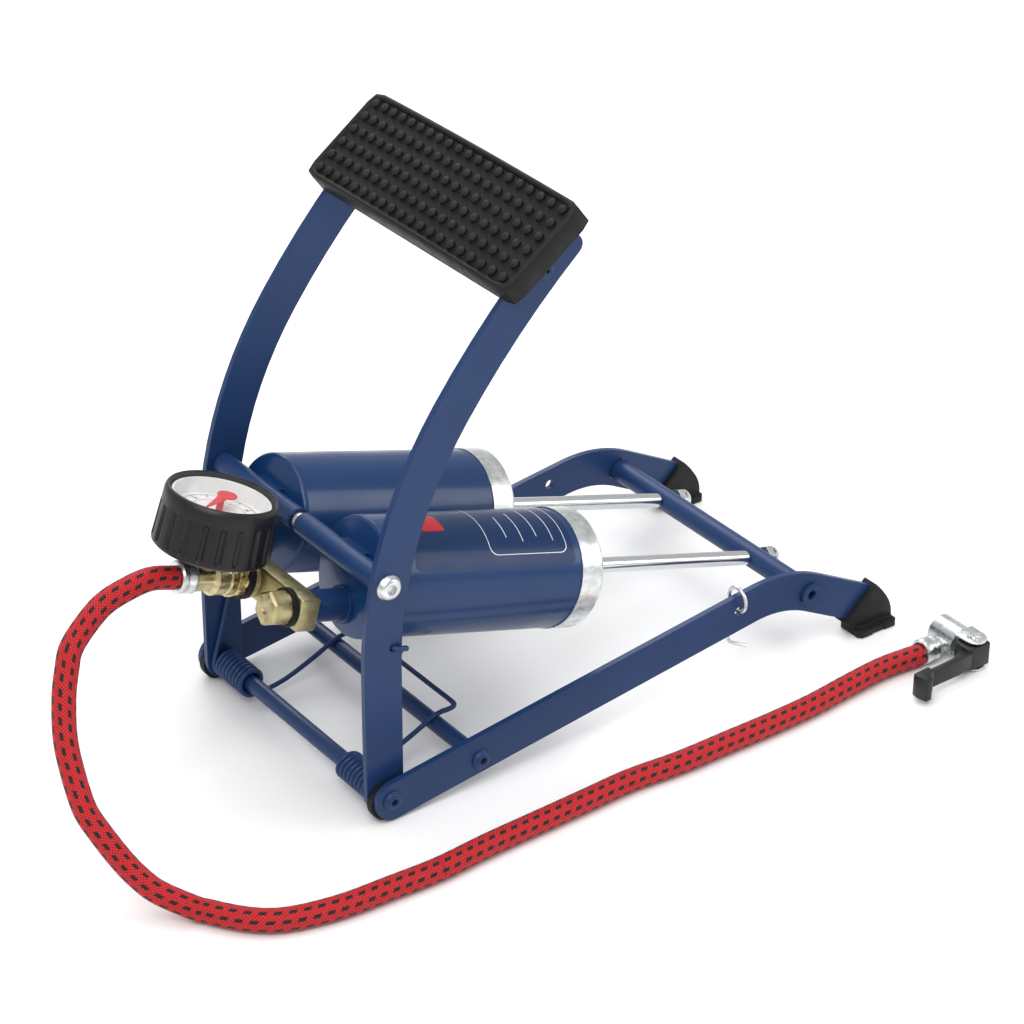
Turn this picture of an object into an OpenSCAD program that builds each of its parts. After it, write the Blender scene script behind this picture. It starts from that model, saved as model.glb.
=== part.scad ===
// Twin-barrel foot air pump: two pivoting steel barrels driven by a pedal frame on a bent-rail base,
// with a fluted pressure gauge on the outlet manifold, a hose laid round the base and a lever chuck.
// All sizes in millimetres. X runs from the pedal pivot to the rear feet, Y across, Z up.

/* [Base] */
// outside width across the two side rails
base_w = 156.8; // [140:0.2:190]
// height of the flat bar of the side rails
rail_h = 20; // [16:0.5:26]
// thickness of the flat bar of the side rails
rail_t = 3; // [2:0.5:5]
// distance from the front axle to the rear cross tube
wheelbase = 249; // [200:1:300]
// height of the rear cross tube above the floor
tube_z = 33.9; // [28:0.1:42]
// height of the front axle above the floor
axle_z = 11.6; // [10:0.1:16]
// diameter of the front axle and the stay rod
axle_d = 8; // [6:0.5:10]
// diameter of the rear cross tube
tube_d = 11.5; // [9:0.5:14]
// radius of the rubber discs that stand on the floor beside the front axle
disc_r = 9.2; // [8.6:0.1:15]
// length of the rubber feet along the rails
foot_l = 23.8; // [16:0.2:30]
// width of the rubber feet
foot_w = 15; // [11:1:20]

/* [Pedal] */
// outside width across the two pedal arms
pedal_w = 142.4; // [130:0.2:180]
// width of the flat bar of the pedal arms
arm_w = 20; // [16:0.5:26]
// thickness of the pedal arms
arm_t = 3; // [2:0.5:5]
// length of the rubber tread across the pedal
pad_w = 158; // [140:1:190]
// depth of the rubber tread along its slope
pad_d = 51.5; // [44:0.5:62]
// slope of the rubber tread in degrees
pad_slope = 36.6; // [25:1:45]
// depth of the tread's skirt
pad_t = 11.5; // [9:0.5:14]
// rows of studs across the tread
stud_rows = 6; // [4:1:8]
// studs in each row
stud_cols = 20; // [14:1:26]
// diameter of a stud
stud_d = 4.6; // [3:0.2:5.4]

/* [Barrels] */
// outside diameter of each barrel
barrel_d = 57; // [47:0.5:66]
// wall of each barrel
barrel_wall = 2; // [1.5:0.5:3]
// distance between the two barrel axes
barrel_pitch = 71.2; // [68:0.2:80]
// length of each barrel
barrel_l = 122; // [110:1:135]
// horizontal position of the trunnion shaft behind the front axle
shaft_x = 4.2; // [0:0.1:8]
// height of the trunnion shaft
shaft_z = 120.7; // [112:0.1:130]
// diameter of the trunnion shaft
shaft_d = 8; // [6:0.5:10]
// diameter of the piston rods
rod_d = 7.5; // [6:0.5:10]

/* [Gauge and outlet] */
// radius of the gauge case at its foot
gauge_r = 27.5; // [22:0.5:32]
// height of the gauge case
gauge_h = 28; // [22:1:34]
// number of flutes around the gauge case
flutes = 20; // [12:1:30]
// section height of the brass manifold
manifold_h = 16; // [14:1:20]

/* [Spring] */
// wire diameter of the return spring
wire_d = 2.5; // [2:0.1:3.2]
// outside diameter of the spring coils
coil_d = 15; // [13.5:0.5:17]
// turns in each coil
coil_n = 8; // [5:1:10]

/* [Hose and chuck] */
// outside diameter of the braided hose
hose_d = 11; // [8:0.5:13]
// radius of the valve socket in the chuck
socket_r = 4; // [3.5:0.1:4.6]
// reach of the chuck lever
lever_l = 46; // [34:1:56]

/* [Hidden] */
$fn = 48;
gap = 0.35;
touch = 0.02;
front_x = -116;
rail_y = base_w / 2 - rail_t / 2;
arm_y = pedal_w / 2 - arm_t / 2;
rail_rise = 7.85;
rail_fall = 27.8;
arch_x = wheelbase - 34;
arch_r = 52;
rail_end = wheelbase + 43;
rail_z0 = 0.53;
stay_x = 49.7;
stay_z = 14.7;
hook_x = 203.5;
hook_z = 39.8;
hook_hole_r = 2.6;
foot_x = wheelbase + 41.5;
foot_y = base_w / 2 - 0.9;
arm_x = 1;
arm_z1 = 78;
arm_r1 = 200;
arm_a1 = 36;
arm_r2 = 410;
arm_a2 = 49.6;
arm_end_r = 5;
pad_x = 102.3;
pad_z = 282.9;
shaft_off = 11.9;
link = norm([wheelbase - shaft_x, shaft_z - tube_z]);
tilt = atan2(shaft_z - tube_z, wheelbase - shaft_x) - asin(shaft_off / link);
shaft_a = sqrt(link * link - shaft_off * shaft_off);
br = barrel_d / 2;
bi = br - barrel_wall;
face_a = shaft_a - 10.4;
cap_a = face_a - barrel_l - 3;
spout_p = -13.5;
block_a = face_a + 23;
block_t = 11;
tee_a = block_a + block_t;
gauge_a = shaft_a + 46.8;
gauge_top_r = gauge_r - 1.7;
play_r = rod_d / 2 + 6.8;
piston_a = cap_a + 13.6;
hz = hose_d / 2;
AIR = [[-63, 0, 114.2], [-76, 0, 118], [-92, -1, 117], [-102, -2, 114],
    [-113, -4, 107], [-121, -7, 101], [-125, -10, 94], [-129, -14, 87],
    [-132, -18, 80], [-135, -23, 73], [-137, -28, 66], [-138, -33, 59],
    [-139, -39, 52], [-139, -45, 45], [-137, -51, 37], [-132, -61, 25],
    [-128, -70, 18], [-123, -79, 13]];
GROUND = [[-110, -91, hz], [-105, -98, hz], [-99, -106, hz], [-92, -113, hz], [-84, -118, hz],
    [-72, -122, hz], [-55, -125, hz], [-34, -126, hz], [-8, -127, hz], [20, -125, hz],
    [48, -124, hz], [76, -123, hz], [104, -122, hz], [132, -124, hz], [160, -124, hz],
    [188, -124, hz], [214, -123, hz], [240, -120, hz], [264, -118, hz], [287, -119.5, hz]];
ROUTE = concat(AIR, GROUND);

function unit(v) = v / norm(v);
function flat(v, t) = unit(v - t * (v * t));
function tangent(p, i) = unit(p[min(i + 1, len(p) - 1)] - p[max(i - 1, 0)]);
function arc_pts(c, r, a0, a1, n) = [for (i = [0:n]) let (a = a0 + (a1 - a0) * i / n)
    [c[0] + r * cos(a), c[1] + r * sin(a)]];

// one closed tube along a list of points
module swept_wire(p, r, sides, n0) {
    last = len(p) - 1;
    t = [for (i = [0:last]) tangent(p, i)];
    nn = [for (i = 0, v = flat(n0, t[0]); i <= last; i = i + 1,
        v = i <= last ? flat(v, t[i]) : v) v];
    ring = [for (i = [0:last]) for (k = [0:sides - 1])
        p[i] + r * (cos(360 * k / sides) * nn[i] + sin(360 * k / sides) * cross(t[i], nn[i]))];
    walls = [for (i = [0:last - 1]) for (k = [0:sides - 1]) let (m = (k + 1) % sides)
        [i * sides + k, (i + 1) * sides + k, (i + 1) * sides + m, i * sides + m]];
    first_cap = [for (k = [0:sides - 1]) k];
    last_cap = [for (k = [sides - 1:-1:0]) last * sides + k];
    polyhedron(points = ring, faces = concat(walls, [first_cap, last_cap]), convexity = 10);
}

module placed() {
    translate([front_x, 0, 0]) children();
}

// frame of the barrels: origin on the rear cross tube, minus X along the barrels to the front
module barrel_frame() {
    placed() translate([wheelbase, 0, tube_z]) rotate([0, tilt, 0]) children();
}

// frame of the tread: origin at its upper rear edge, plus X down the slope, Z out of the tread
module pad_frame() {
    placed() translate([pad_x, 0, pad_z]) rotate([0, 180 - pad_slope, 0]) mirror([0, 0, 1]) children();
}

// cylinder along minus X in the barrel frame, from distance a0 to a1 along the barrel
module along(a0, a1, r, y = 0, p = 0) {
    translate([-a1, y, p]) rotate([0, 90, 0]) cylinder(r = r, h = a1 - a0);
}

// cylinder across the pump, from y0 to y1
module across(x, z, r, y0, y1) {
    translate([x, y0, z]) rotate([-90, 0, 0]) cylinder(r = r, h = y1 - y0);
}

module in_pair() {
    children();
    mirror([0, 1, 0]) children();
}

/* side rails */
function rail_low() = rail_z0 + arch_x * tan(rail_rise);
function arch_c() = [arch_x + arch_r * sin(rail_rise), rail_low() - arch_r * cos(rail_rise)];
function rail_tail(r) = let (c = arch_c(), a = 90 - rail_fall, q = [c[0] + r * cos(a), c[1] + r * sin(a)],
    s = rail_end - (c[0] + (arch_r + rail_h / 2) * cos(a)))
    [q[0] + s, q[1] - s * tan(rail_fall)];
module rail_profile() {
    nose = [1.5, rail_z0 + 1.5 * tan(rail_rise) + rail_h / 2 / cos(rail_rise)];
    difference() {
        intersection() {
            polygon(concat(
                arc_pts(nose, rail_h / 2, 270 + rail_rise, 90 + rail_rise, 12),
                arc_pts(arch_c(), arch_r + rail_h, 90 + rail_rise, 90 - rail_fall, 10),
                [rail_tail(arch_r + rail_h)],
                [rail_tail(arch_r)],
                arc_pts(arch_c(), arch_r, 90 - rail_fall, 90 + rail_rise, 10)));
            translate([foot_x + foot_l / 2 - 11.9, 0])
                polygon([[9.6, 3], [9.2, 8], [7.6, 12.6], [5, 16.4], [2, 20.2], [-0.4, 23], [25.5, 52],
                    [-600, 80], [-600, -50], [-38.5, -13.5], [-16, 6.3], [-13, 3]]);
        }
        translate([0, axle_z]) circle(d = axle_d);
        translate([stay_x, stay_z]) circle(d = axle_d);
        translate([wheelbase, tube_z]) circle(r = tube_d / 2 + gap);
        translate([hook_x, hook_z]) circle(r = hook_hole_r);
    }
}
module rail(side) {
    placed() translate([0, side * rail_y + rail_t / 2, 0]) rotate([90, 0, 0])
        linear_extrude(height = rail_t) rail_profile();
}
module side_rail_left() {
    color("#31486f") rail(-1);
}
module side_rail_right() {
    color("#31486f") rail(1);
}
module front_axle() {
    color("#31486f") placed() across(0, axle_z, axle_d / 2, -base_w / 2, base_w / 2);
}
module stay_rod() {
    color("#31486f") placed() across(stay_x, stay_z, axle_d / 2, -base_w / 2, base_w / 2);
}

// domed rivet head on the outside of a rail or arm
module rivet(x, z, y, r, h, socket) {
    translate([x, y, z]) rotate([-90, 0, 0]) difference() {
        union() {
            cylinder(r = r, h = h * 0.45);
            translate([0, 0, h * 0.45]) cylinder(r1 = r, r2 = r * 0.62, h = h * 0.55);
        }
        translate([0, 0, h * 0.4]) cylinder(r = socket, h = h);
    }
}
module rail_rivets() {
    color("#3b4a66") placed() in_pair() {
        rivet(0, axle_z, base_w / 2, axle_d / 2 + 1, 2.2, 1.6);
        rivet(stay_x, stay_z, base_w / 2, axle_d / 2 + 1, 2.2, 1.2);
    }
}
module axle_discs() {
    color("#1b1c1e") placed() in_pair() difference() {
        across(-0.3, disc_r, disc_r, pedal_w / 2 + gap, base_w / 2 - rail_t - touch);
        across(0, axle_z, axle_d / 2 + touch, pedal_w / 2 - 1, base_w / 2);
    }
}

/* rubber feet */
module foot_profile() {
    h = foot_l / 2;
    polygon([[-h, 0], [h, 0], [h, 4], [h - 0.4, 8.9], [h - 1.3, 11.8], [h - 2.6, 14.4], [h - 4.5, 17.5],
        [h - 6.8, 20.6], [h - 9, 23.4], [h - 11.5, 26], [h - 30.5, 9.3], [-h, 3.5]]);
}
foot_t = 9.4;
module foot(side) {
    placed() difference() {
        union() {
            translate([foot_x, side * rail_y + foot_t / 2, 0]) rotate([90, 0, 0])
                linear_extrude(height = foot_t) foot_profile();
            translate([foot_x, side * foot_y, 2]) cube([foot_l + 1.6, foot_w + 1.6, 4], center = true);
        }
        translate([0, side * rail_y + rail_t / 2 + touch, 0]) rotate([90, 0, 0])
            linear_extrude(height = rail_t + 2 * touch) offset(delta = touch) rail_profile();
        translate([foot_x, side * foot_y, 0]) cube([foot_l - 8.8, foot_w - 6, 3], center = true);
    }
}
module rear_foot_left() {
    color("#1b1c1e") foot(-1);
}
module rear_foot_right() {
    color("#1b1c1e") foot(1);
}

/* double torsion spring round the front axle */
wr = wire_d / 2;
cr = coil_d / 2 - wr;
coil_y0 = 42;
coil_y1 = arm_y - arm_t / 2 - wr - 0.4;
bridge_z = stay_z + axle_d / 2 + wr + 0.3;
hole_x = 6.5;
hole_z = 88;
sweep = 360 * coil_n + 90;
steps = 14 * coil_n + 4;
half_wire = concat(
    [[62, 0, bridge_z], [62, 20, bridge_z], [62, 38, bridge_z], [60.8, 40.8, bridge_z],
     [58, 42, bridge_z], [49.7, 42, bridge_z], [40, 42, 15.6], [31.8, 42, 12], [20, 42, 7.6],
     [10, 42, 5.6]],
    [for (i = [0:steps]) let (a = -90 - sweep * i / steps)
        [cr * cos(a), coil_y0 + (coil_y1 - coil_y0) * i / steps, axle_z + cr * sin(a)]],
    [[-4.6, coil_y1, 20], [0, coil_y1, 36], [6, coil_y1, 58], [11, coil_y1, 76],
     [13.4, coil_y1 + 1, 82.5], [13.8, arm_y, 84.5], [12.8, arm_y + 2.6, 86.2],
     [10, arm_y + 3.4, 87.4], [8, arm_y + 3.2, 87.9], [6.9, arm_y + 2, 88], [hole_x, arm_y, 88]]);
function flipped(p) = [for (i = [len(p) - 1:-1:1]) [p[i][0], -p[i][1], p[i][2]]];
module return_spring() {
    color("#2f5fb0") placed() swept_wire(concat(flipped(half_wire), half_wire), wr, 8, [1, 0, 0]);
}

/* wire hook that holds the folded pedal down */
ring_y = -(base_w / 2 - rail_t / 2);
ring_z = hook_z + 6.2;
ring_r = 6.2;
HOOK = concat(
    [for (i = [0:18]) let (a = -78 - 330 * i / 18)
        [hook_x, ring_y + ring_r * cos(a), ring_z + ring_r * sin(a)]],
    [[hook_x, -70.6, 38.5], [hook_x, -70.6, 30], [hook_x, -70.6, 21], [hook_x + 1.5, -71.5, 18.6],
     [hook_x + 4, -74, 17.6], [hook_x + 7, -77, 17]]);
module storage_hook() {
    color("#b9bcc0") placed() swept_wire(HOOK, 1, 8, [1, 0, 0]);
}

/* pedal frame */
function arm_c1() = [arm_x + arm_r1, arm_z1];
function arm_top1() = [arm_c1()[0] - arm_r1 * cos(arm_a1), arm_z1 + arm_r1 * sin(arm_a1)];
function arm_c2() = [arm_top1()[0] + arm_r2 * cos(arm_a1), arm_top1()[1] - arm_r2 * sin(arm_a1)];
function arm_corner() = let (c = arm_c2(), r = arm_r2 - arm_w / 2 + arm_end_r, a = arm_a2 - 0.7)
    [c[0] - r * cos(a), c[1] + r * sin(a)];
module arm_profile() {
    h = arm_w / 2;
    difference() {
        polygon(concat(
            arc_pts([arm_x, axle_z + 0.4], h, 0, -180, 14),
            arc_pts(arm_c1(), arm_r1 + h, 180, 180 - arm_a1, 12),
            arc_pts(arm_c2(), arm_r2 + h, 180 - arm_a1, 180 - arm_a2, 6),
            arc_pts(arm_corner(), arm_end_r, 90 - arm_a2, -arm_a2, 5),
            arc_pts(arm_c2(), arm_r2 - h, 180 - arm_a2 + 0.75, 180 - arm_a1, 6),
            arc_pts(arm_c1(), arm_r1 - h, 180 - arm_a1, 180, 12)));
        translate([0, axle_z]) circle(r = axle_d / 2 + gap);
        translate([shaft_x, shaft_z]) circle(d = shaft_d);
        translate([hole_x, hole_z]) circle(r = wr + 0.6);
    }
}
module arm(side) {
    difference() {
        placed() translate([0, side * arm_y + arm_t / 2, 0]) rotate([90, 0, 0])
            linear_extrude(height = arm_t) arm_profile();
        pad_frame() translate([-20, -100, -plate_z - plate_t]) cube([120, 200, 40]);
    }
}
plate_z = 4;
plate_t = 2.5;
crown = 2.5;
module pedal_arm_left() {
    color("#31486f") arm(-1);
}
module pedal_arm_right() {
    color("#31486f") arm(1);
}
module pedal_plate() {
    color("#2c3f60") pad_frame() {
        translate([3, -(pad_w / 2 - 3), -plate_z - plate_t]) cube([pad_d - 6, pad_w - 6, plate_t]);
        for (x = [10, pad_d - 13])
            translate([x, -(arm_y - arm_t / 2), -plate_z - plate_t - 7])
                cube([3, 2 * arm_y - arm_t, 7]);
    }
}
function crown_line(w, z0, n) = [for (i = [0:n]) let (y = w * (0.5 - i / n))
    [y, z0 + crown * (1 - pow(2 * y / pad_w, 2))]];
module tread_slab(w, d, x0, z0, depth) {
    translate([x0 + d, 0, 0]) rotate([90, 0, -90]) mirror([1, 0, 0])
        linear_extrude(height = d)
            polygon(concat([[-w / 2, z0 - depth], [w / 2, z0 - depth]], crown_line(w, z0, 20)));
}
module tread_pocket(w, d, x0, z0) {
    floor_line = crown_line(w, z0, 20);
    translate([x0 + d, 0, 0]) rotate([90, 0, -90]) mirror([1, 0, 0])
        linear_extrude(height = d)
            polygon(concat([for (i = [20:-1:0]) floor_line[i]], crown_line(w, z0 + 6, 20)));
}
module pedal_pad() {
    px = (pad_d - 12) / (stud_rows - 1);
    py = (pad_w - 14) / (stud_cols - 1);
    color("#1b1c1e") pad_frame() {
        difference() {
            tread_slab(pad_w, pad_d, 0, 0, pad_t);
            tread_pocket(pad_w - 5, pad_d - 5, 2.5, -1.2);
            translate([2.6, -(pad_w / 2 - 2.6), -pad_t - 1])
                cube([pad_d - 5.2, pad_w - 5.2, pad_t + 1 - plate_z + touch]);
            for (side = [-1, 1])
                translate([pad_d - 4, side * arm_y - arm_t / 2 - touch, -pad_t - 1])
                    cube([6, arm_t + 2 * touch, 4]);
        }
        for (i = [0:stud_rows - 1])
            for (k = [0:stud_cols - 1])
                let (y = -pad_w / 2 + 7 + k * py)
                    translate([6 + i * px, y, -2 + crown * (1 - pow(2 * y / pad_w, 2))])
                        cylinder(d = stud_d, h = 2.6, $fn = 12);
    }
}
module arm_rivets() {
    c = arm_c2();
    color("#3b5484") placed() in_pair()
        rivet(c[0] - arm_r2 * cos(46.6), c[1] + arm_r2 * sin(46.6), pedal_w / 2, 4, 2.2, 0.9);
}
module trunnion_shaft() {
    color("#a9adb2") placed() across(shaft_x, shaft_z, shaft_d / 2, -pedal_w / 2, pedal_w / 2);
}
module shaft_bolts() {
    color("#a9adb2") placed() in_pair() difference() {
        union() {
            across(shaft_x, shaft_z, 6.25, pedal_w / 2, pedal_w / 2 + 1.4);
            translate([shaft_x, pedal_w / 2 + 1.4, shaft_z]) rotate([-90, 0, 0])
                cylinder(r1 = 6.25, r2 = 4, h = 2.4);
        }
        translate([shaft_x, pedal_w / 2 + 1.6, shaft_z]) rotate([-90, 0, 0])
            cylinder(r = 2.9, h = 4, $fn = 6);
    }
}

/* barrels */
module barrel(side) {
    y = side * barrel_pitch / 2;
    barrel_frame() difference() {
        union() {
            translate([-face_a, y, 0]) rotate([0, 90, 0]) rotate([0, 0, 180])
                rotate_extrude($fn = 72) polygon(concat(
                    [[0, -4.6]],
                    [for (i = [1:8]) [26 * i / 8, -4.6 + 3.2 * pow(i / 8, 2)]],
                    arc_pts([26, 1.1], 2.5, -90, 0, 5),
                    [[br, barrel_l], [bi, barrel_l], [bi, 3], [0, 3]]));
            along(face_a - 1, face_a + 6, 9, y, spout_p);
            translate([-face_a - 7.6, y - 9, shaft_off - 7]) cube([7.6, 18, 11]);
        }
        translate([-shaft_a, y - 20, shaft_off]) rotate([-90, 0, 0]) cylinder(r = 5.5, h = 40);
        along(face_a - 4, face_a + 7, 3, y, spout_p);
    }
}
module barrel_left() {
    color("#34507f") barrel(-1);
}
module barrel_right() {
    color("#34507f") barrel(1);
}
module barrel_sleeves() {
    color("#34507f") barrel_frame() in_pair() translate([-shaft_a, 2.4, shaft_off])
        rotate([-90, 0, 0]) difference() {
            cylinder(r = 5.5, h = arm_y - arm_t / 2 - 2.4 - 1);
            translate([0, 0, -1]) cylinder(r = shaft_d / 2 + gap, h = pedal_w);
        }
}
module rear_cap(side) {
    y = side * barrel_pitch / 2;
    barrel_frame() translate([-cap_a, y, 0]) rotate([0, -90, 0])
        rotate_extrude($fn = 72) polygon([[play_r, 0], [br - 2.4, 0], [br - 0.6, 0.7], [br + 0.6, 2.6],
            [br + 0.6, 14.2], [br + touch, 14.2], [br + touch, 2.6], [play_r, 2.6]]);
}
module rear_cap_left() {
    color("#b4b7ba") rear_cap(-1);
}
module rear_cap_right() {
    color("#b4b7ba") rear_cap(1);
}
module outlet_spouts() {
    color("#34507f") barrel_frame() in_pair() difference() {
        along(face_a + 6, block_a, 7.5, barrel_pitch / 2, spout_p);
        along(face_a + 5, face_a + 13, 3, barrel_pitch / 2, spout_p);
        along(face_a + 12, block_a + 1, 5 + touch, barrel_pitch / 2, spout_p);
    }
}
module manifold_block() {
    color("#b88a3c") barrel_frame() difference() {
        union() {
            translate([-block_a - block_t, -44.5, spout_p - manifold_h / 2 - 0.5])
                cube([block_t, 89, manifold_h]);
            along(tee_a, tee_a + 2, 11, 0, spout_p);
        }
        for (s = [-1, 1])
            along(block_a - 1, tee_a + 3, 5 + touch, s * barrel_pitch / 2, spout_p);
        along(tee_a - 6, tee_a + 3, 4 + touch, 0, spout_p);
        translate([-tee_a + block_t / 2, -38, spout_p]) rotate([-90, 0, 0]) cylinder(r = 2, h = 76);
    }
}
module banjo_bolts() {
    color("#b88a3c") barrel_frame() in_pair() difference() {
        union() {
            along(face_a + 13, tee_a + 3, 5, barrel_pitch / 2, spout_p);
            translate([-tee_a - 13, barrel_pitch / 2, spout_p]) rotate([0, 90, 0])
                cylinder(r = 8.6, h = 10, $fn = 6);
        }
        along(face_a + 12, tee_a - 2, 2, barrel_pitch / 2, spout_p);
    }
}
module sealing_washers() {
    color("#1b1c1e") barrel_frame() {
        in_pair() difference() {
            along(tee_a, tee_a + 3 - touch, 9, barrel_pitch / 2, spout_p);
            along(tee_a - 1, tee_a + 4, 5 + touch, barrel_pitch / 2, spout_p);
        }
        difference() {
            along(tee_a + 2, tee_a + 5, 11.5, 0, spout_p);
            along(tee_a + 1, tee_a + 6, 4 + touch, 0, spout_p);
        }
    }
}
module outlet_tee() {
    color("#c9a24a") barrel_frame() difference() {
        union() {
            along(tee_a - 5, tee_a + 10.5, 4, 0, spout_p);
            along(tee_a + 10 + touch, tee_a + 21, 9.5, 0, spout_p);
            along(tee_a + 21, tee_a + 31, 7, 0, spout_p);
            translate([-gauge_a, 0, spout_p]) cylinder(r = 6.5, h = -spout_p - 0.4);
        }
        along(tee_a - 6, tee_a + 32, 2, 0, spout_p);
        translate([-gauge_a, 0, spout_p]) cylinder(r = 2, h = 20);
    }
}
module tee_nut() {
    color("#c9a24a") barrel_frame() difference() {
        translate([-tee_a - 10, 0, spout_p]) rotate([0, 90, 0]) cylinder(r = 11.4, h = 5 - touch, $fn = 6);
        along(tee_a + 4, tee_a + 11, 4 + touch, 0, spout_p);
    }
}

/* gauge */
module gauge_frame() {
    barrel_frame() translate([-gauge_a, 0, 0]) children();
}
module gauge_case() {
    color("#20242c") gauge_frame() difference() {
        cylinder(r1 = gauge_r, r2 = gauge_top_r, h = gauge_h, $fn = 72);
        translate([0, 0, 2.5]) cylinder(r = gauge_top_r - 3, h = gauge_h, $fn = 72);
        translate([0, 0, gauge_h - 2.4]) cylinder(r = gauge_top_r - 1.6, h = 5, $fn = 72);
        translate([0, 0, -1]) cylinder(r = 3, h = 5);
        for (i = [0:flutes - 1])
            rotate([0, 0, 360 * i / flutes]) translate([gauge_r + 2.2, 0, 4])
                cylinder(r = 3.2, h = gauge_h - 9, $fn = 16);
    }
}
module gauge_movement() {
    color("#b88a3c") gauge_frame() {
        translate([0, 0, 2.5 + touch]) cylinder(r = 9, h = gauge_h - 15.7);
        translate([0, 0, gauge_h - 13.2]) cylinder(r = 1.4, h = 10.2);
    }
}
module gauge_dial() {
    color("#f1f0ea") gauge_frame() difference() {
        union() {
            translate([0, 0, gauge_h - 11]) cylinder(r = gauge_top_r - 3 - touch, h = 1.6, $fn = 72);
            difference() {
                translate([0, 0, gauge_h - 11])
                    cylinder(r = gauge_top_r - 3 - touch, h = 8.5, $fn = 72);
                translate([0, 0, gauge_h - 11.4])
                    cylinder(r1 = gauge_top_r - 5.4, r2 = gauge_top_r - 3.9, h = 10.4, $fn = 72);
            }
        }
        translate([0, 0, gauge_h - 12]) cylinder(r = 1.4 + touch, h = 4);
    }
}
module gauge_lens() {
    color("#dfe8ee") gauge_frame() translate([0, 0, gauge_h - 2.4])
        cylinder(r = gauge_top_r - 1.6 - touch, h = 1.8, $fn = 72);
}
module gauge_needle() {
    color("#c8201c") gauge_frame() translate([0, 0, gauge_h - 3.9]) rotate([0, 0, 212]) difference() {
        union() {
            cylinder(r = 2.9, h = 1);
            translate([-6.2, 0, 0]) cylinder(r = 4.7, h = 1);
            linear_extrude(height = 1) polygon([[-6, -3], [0, -2], [16, -0.35], [16, 0.35], [0, 2], [-6, 3]]);
        }
        translate([0, 0, -1]) cylinder(r = 1.4 + gap, h = 4);
    }
}

/* rods and pistons */
module rear_cross_tube() {
    color("#31486f") placed() difference() {
        across(wheelbase, tube_z, tube_d / 2, -base_w / 2 - 1.8, base_w / 2 + 1.8);
        across(wheelbase, tube_z, 2.5, -base_w / 2 - 3, -base_w / 2 + 12);
        across(wheelbase, tube_z, 2.5, base_w / 2 - 12, base_w / 2 + 3);
        translate([wheelbase, 0, tube_z]) rotate([0, tilt, 0]) for (s = [-1, 1])
            along(-20, 20, 2.8 + touch, s * barrel_pitch / 2, 0);
    }
}
module piston_rod(side) {
    y = side * barrel_pitch / 2;
    barrel_frame() {
        along(tube_d / 2 + 1, piston_a - 4.2, rod_d / 2, y);
        along(-tube_d / 2 - 5, tube_d / 2 + 2, 2.8, y);
        along(piston_a - 5, piston_a + 17.6, 2.8, y);
    }
}
module piston_rod_left() {
    color("#c3c6ca") piston_rod(-1);
}
module piston_rod_right() {
    color("#c3c6ca") piston_rod(1);
}
module piston_washers() {
    color("#a9adb2") barrel_frame() in_pair() difference() {
        union() {
            along(piston_a - 4.2 + touch, piston_a - 2.2, 18, barrel_pitch / 2);
            along(piston_a + 10.6, piston_a + 12.6, 18, barrel_pitch / 2);
            translate([-piston_a - 16.6, barrel_pitch / 2, 0]) rotate([0, 90, 0])
                cylinder(r = 5.8, h = 4, $fn = 6);
        }
        along(piston_a - 6, piston_a + 20, 2.8 + touch, barrel_pitch / 2);
    }
}
module dome_nuts() {
    color("#b4b7ba") barrel_frame() in_pair() difference() {
        union() {
            translate([tube_d / 2 + 0.4, barrel_pitch / 2, 0]) rotate([0, 90, 0])
                cylinder(r = 5.8, h = 4.6, $fn = 6);
            translate([tube_d / 2 + 4.4, barrel_pitch / 2, 0]) rotate([0, 90, 0])
                cylinder(r1 = 5, r2 = 2.6, h = 4);
        }
        along(-tube_d / 2 - 5.2, 0, 2.8 + touch, barrel_pitch / 2);
    }
}
module pistons() {
    color("#3a3d42") barrel_frame() in_pair() difference() {
        along(piston_a, piston_a + 8.4, bi - 1.2, barrel_pitch / 2);
        along(piston_a - 1, piston_a + 10, play_r, barrel_pitch / 2);
        difference() {
            along(piston_a + 2.4, piston_a + 6, bi, barrel_pitch / 2);
            along(piston_a + 2, piston_a + 7, bi - 4, barrel_pitch / 2);
        }
    }
}
module piston_cups() {
    color("#1b1c1e") barrel_frame() in_pair() difference() {
        along(piston_a + 2.4 + touch, piston_a + 6 - touch, bi - 0.4, barrel_pitch / 2);
        along(piston_a + 2, piston_a + 7, bi - 4 + touch, barrel_pitch / 2);
    }
}
module rod_guides() {
    color("#1b1c1e") barrel_frame() in_pair() difference() {
        along(cap_a + 4.2, cap_a + 7, play_r + 7.5, barrel_pitch / 2);
        along(cap_a + 3, cap_a + 8, rod_d / 2 + gap, barrel_pitch / 2);
    }
}

/* hose and chuck */
module hose_ferrule_front() {
    color("#b4b7ba") barrel_frame() difference() {
        along(tee_a + 30, tee_a + 38.6, 8, 0, spout_p);
        along(tee_a + 29, tee_a + 31 + touch, 7 + touch, 0, spout_p);
        along(tee_a + 30, tee_a + 40, 3, 0, spout_p);
    }
}
module hose() {
    color("#9c2430") placed() swept_wire(ROUTE, hose_d / 2, 10, [0, 0, 1]);
}
fx = 287.2;
hy = -119.5;
hx = 308;
head_z = 8.6;
pin_y = -136;
module hose_ferrule_rear() {
    color("#b4b7ba") placed() translate([fx, hy, hz + 1.2]) rotate([0, 90, 0]) cylinder(r = 6.6, h = 9);
}
module chuck_body() {
    color("#b4b7ba") placed() difference() {
        union() {
            translate([fx + 9, hy, hz + 1.4]) rotate([0, 90, 0]) cylinder(r = 4.6, h = 8);
            translate([hx, -126, head_z]) rotate([-90, 0, 0]) cylinder(r = 7, h = 16);
        }
        translate([hx, -122, head_z]) rotate([-90, 0, 0]) cylinder(r = socket_r + 1.4, h = 14);
        translate([fx + 8, hy, hz + 1.4]) rotate([0, 90, 0]) cylinder(r = 1.6, h = 14);
    }
}
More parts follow.
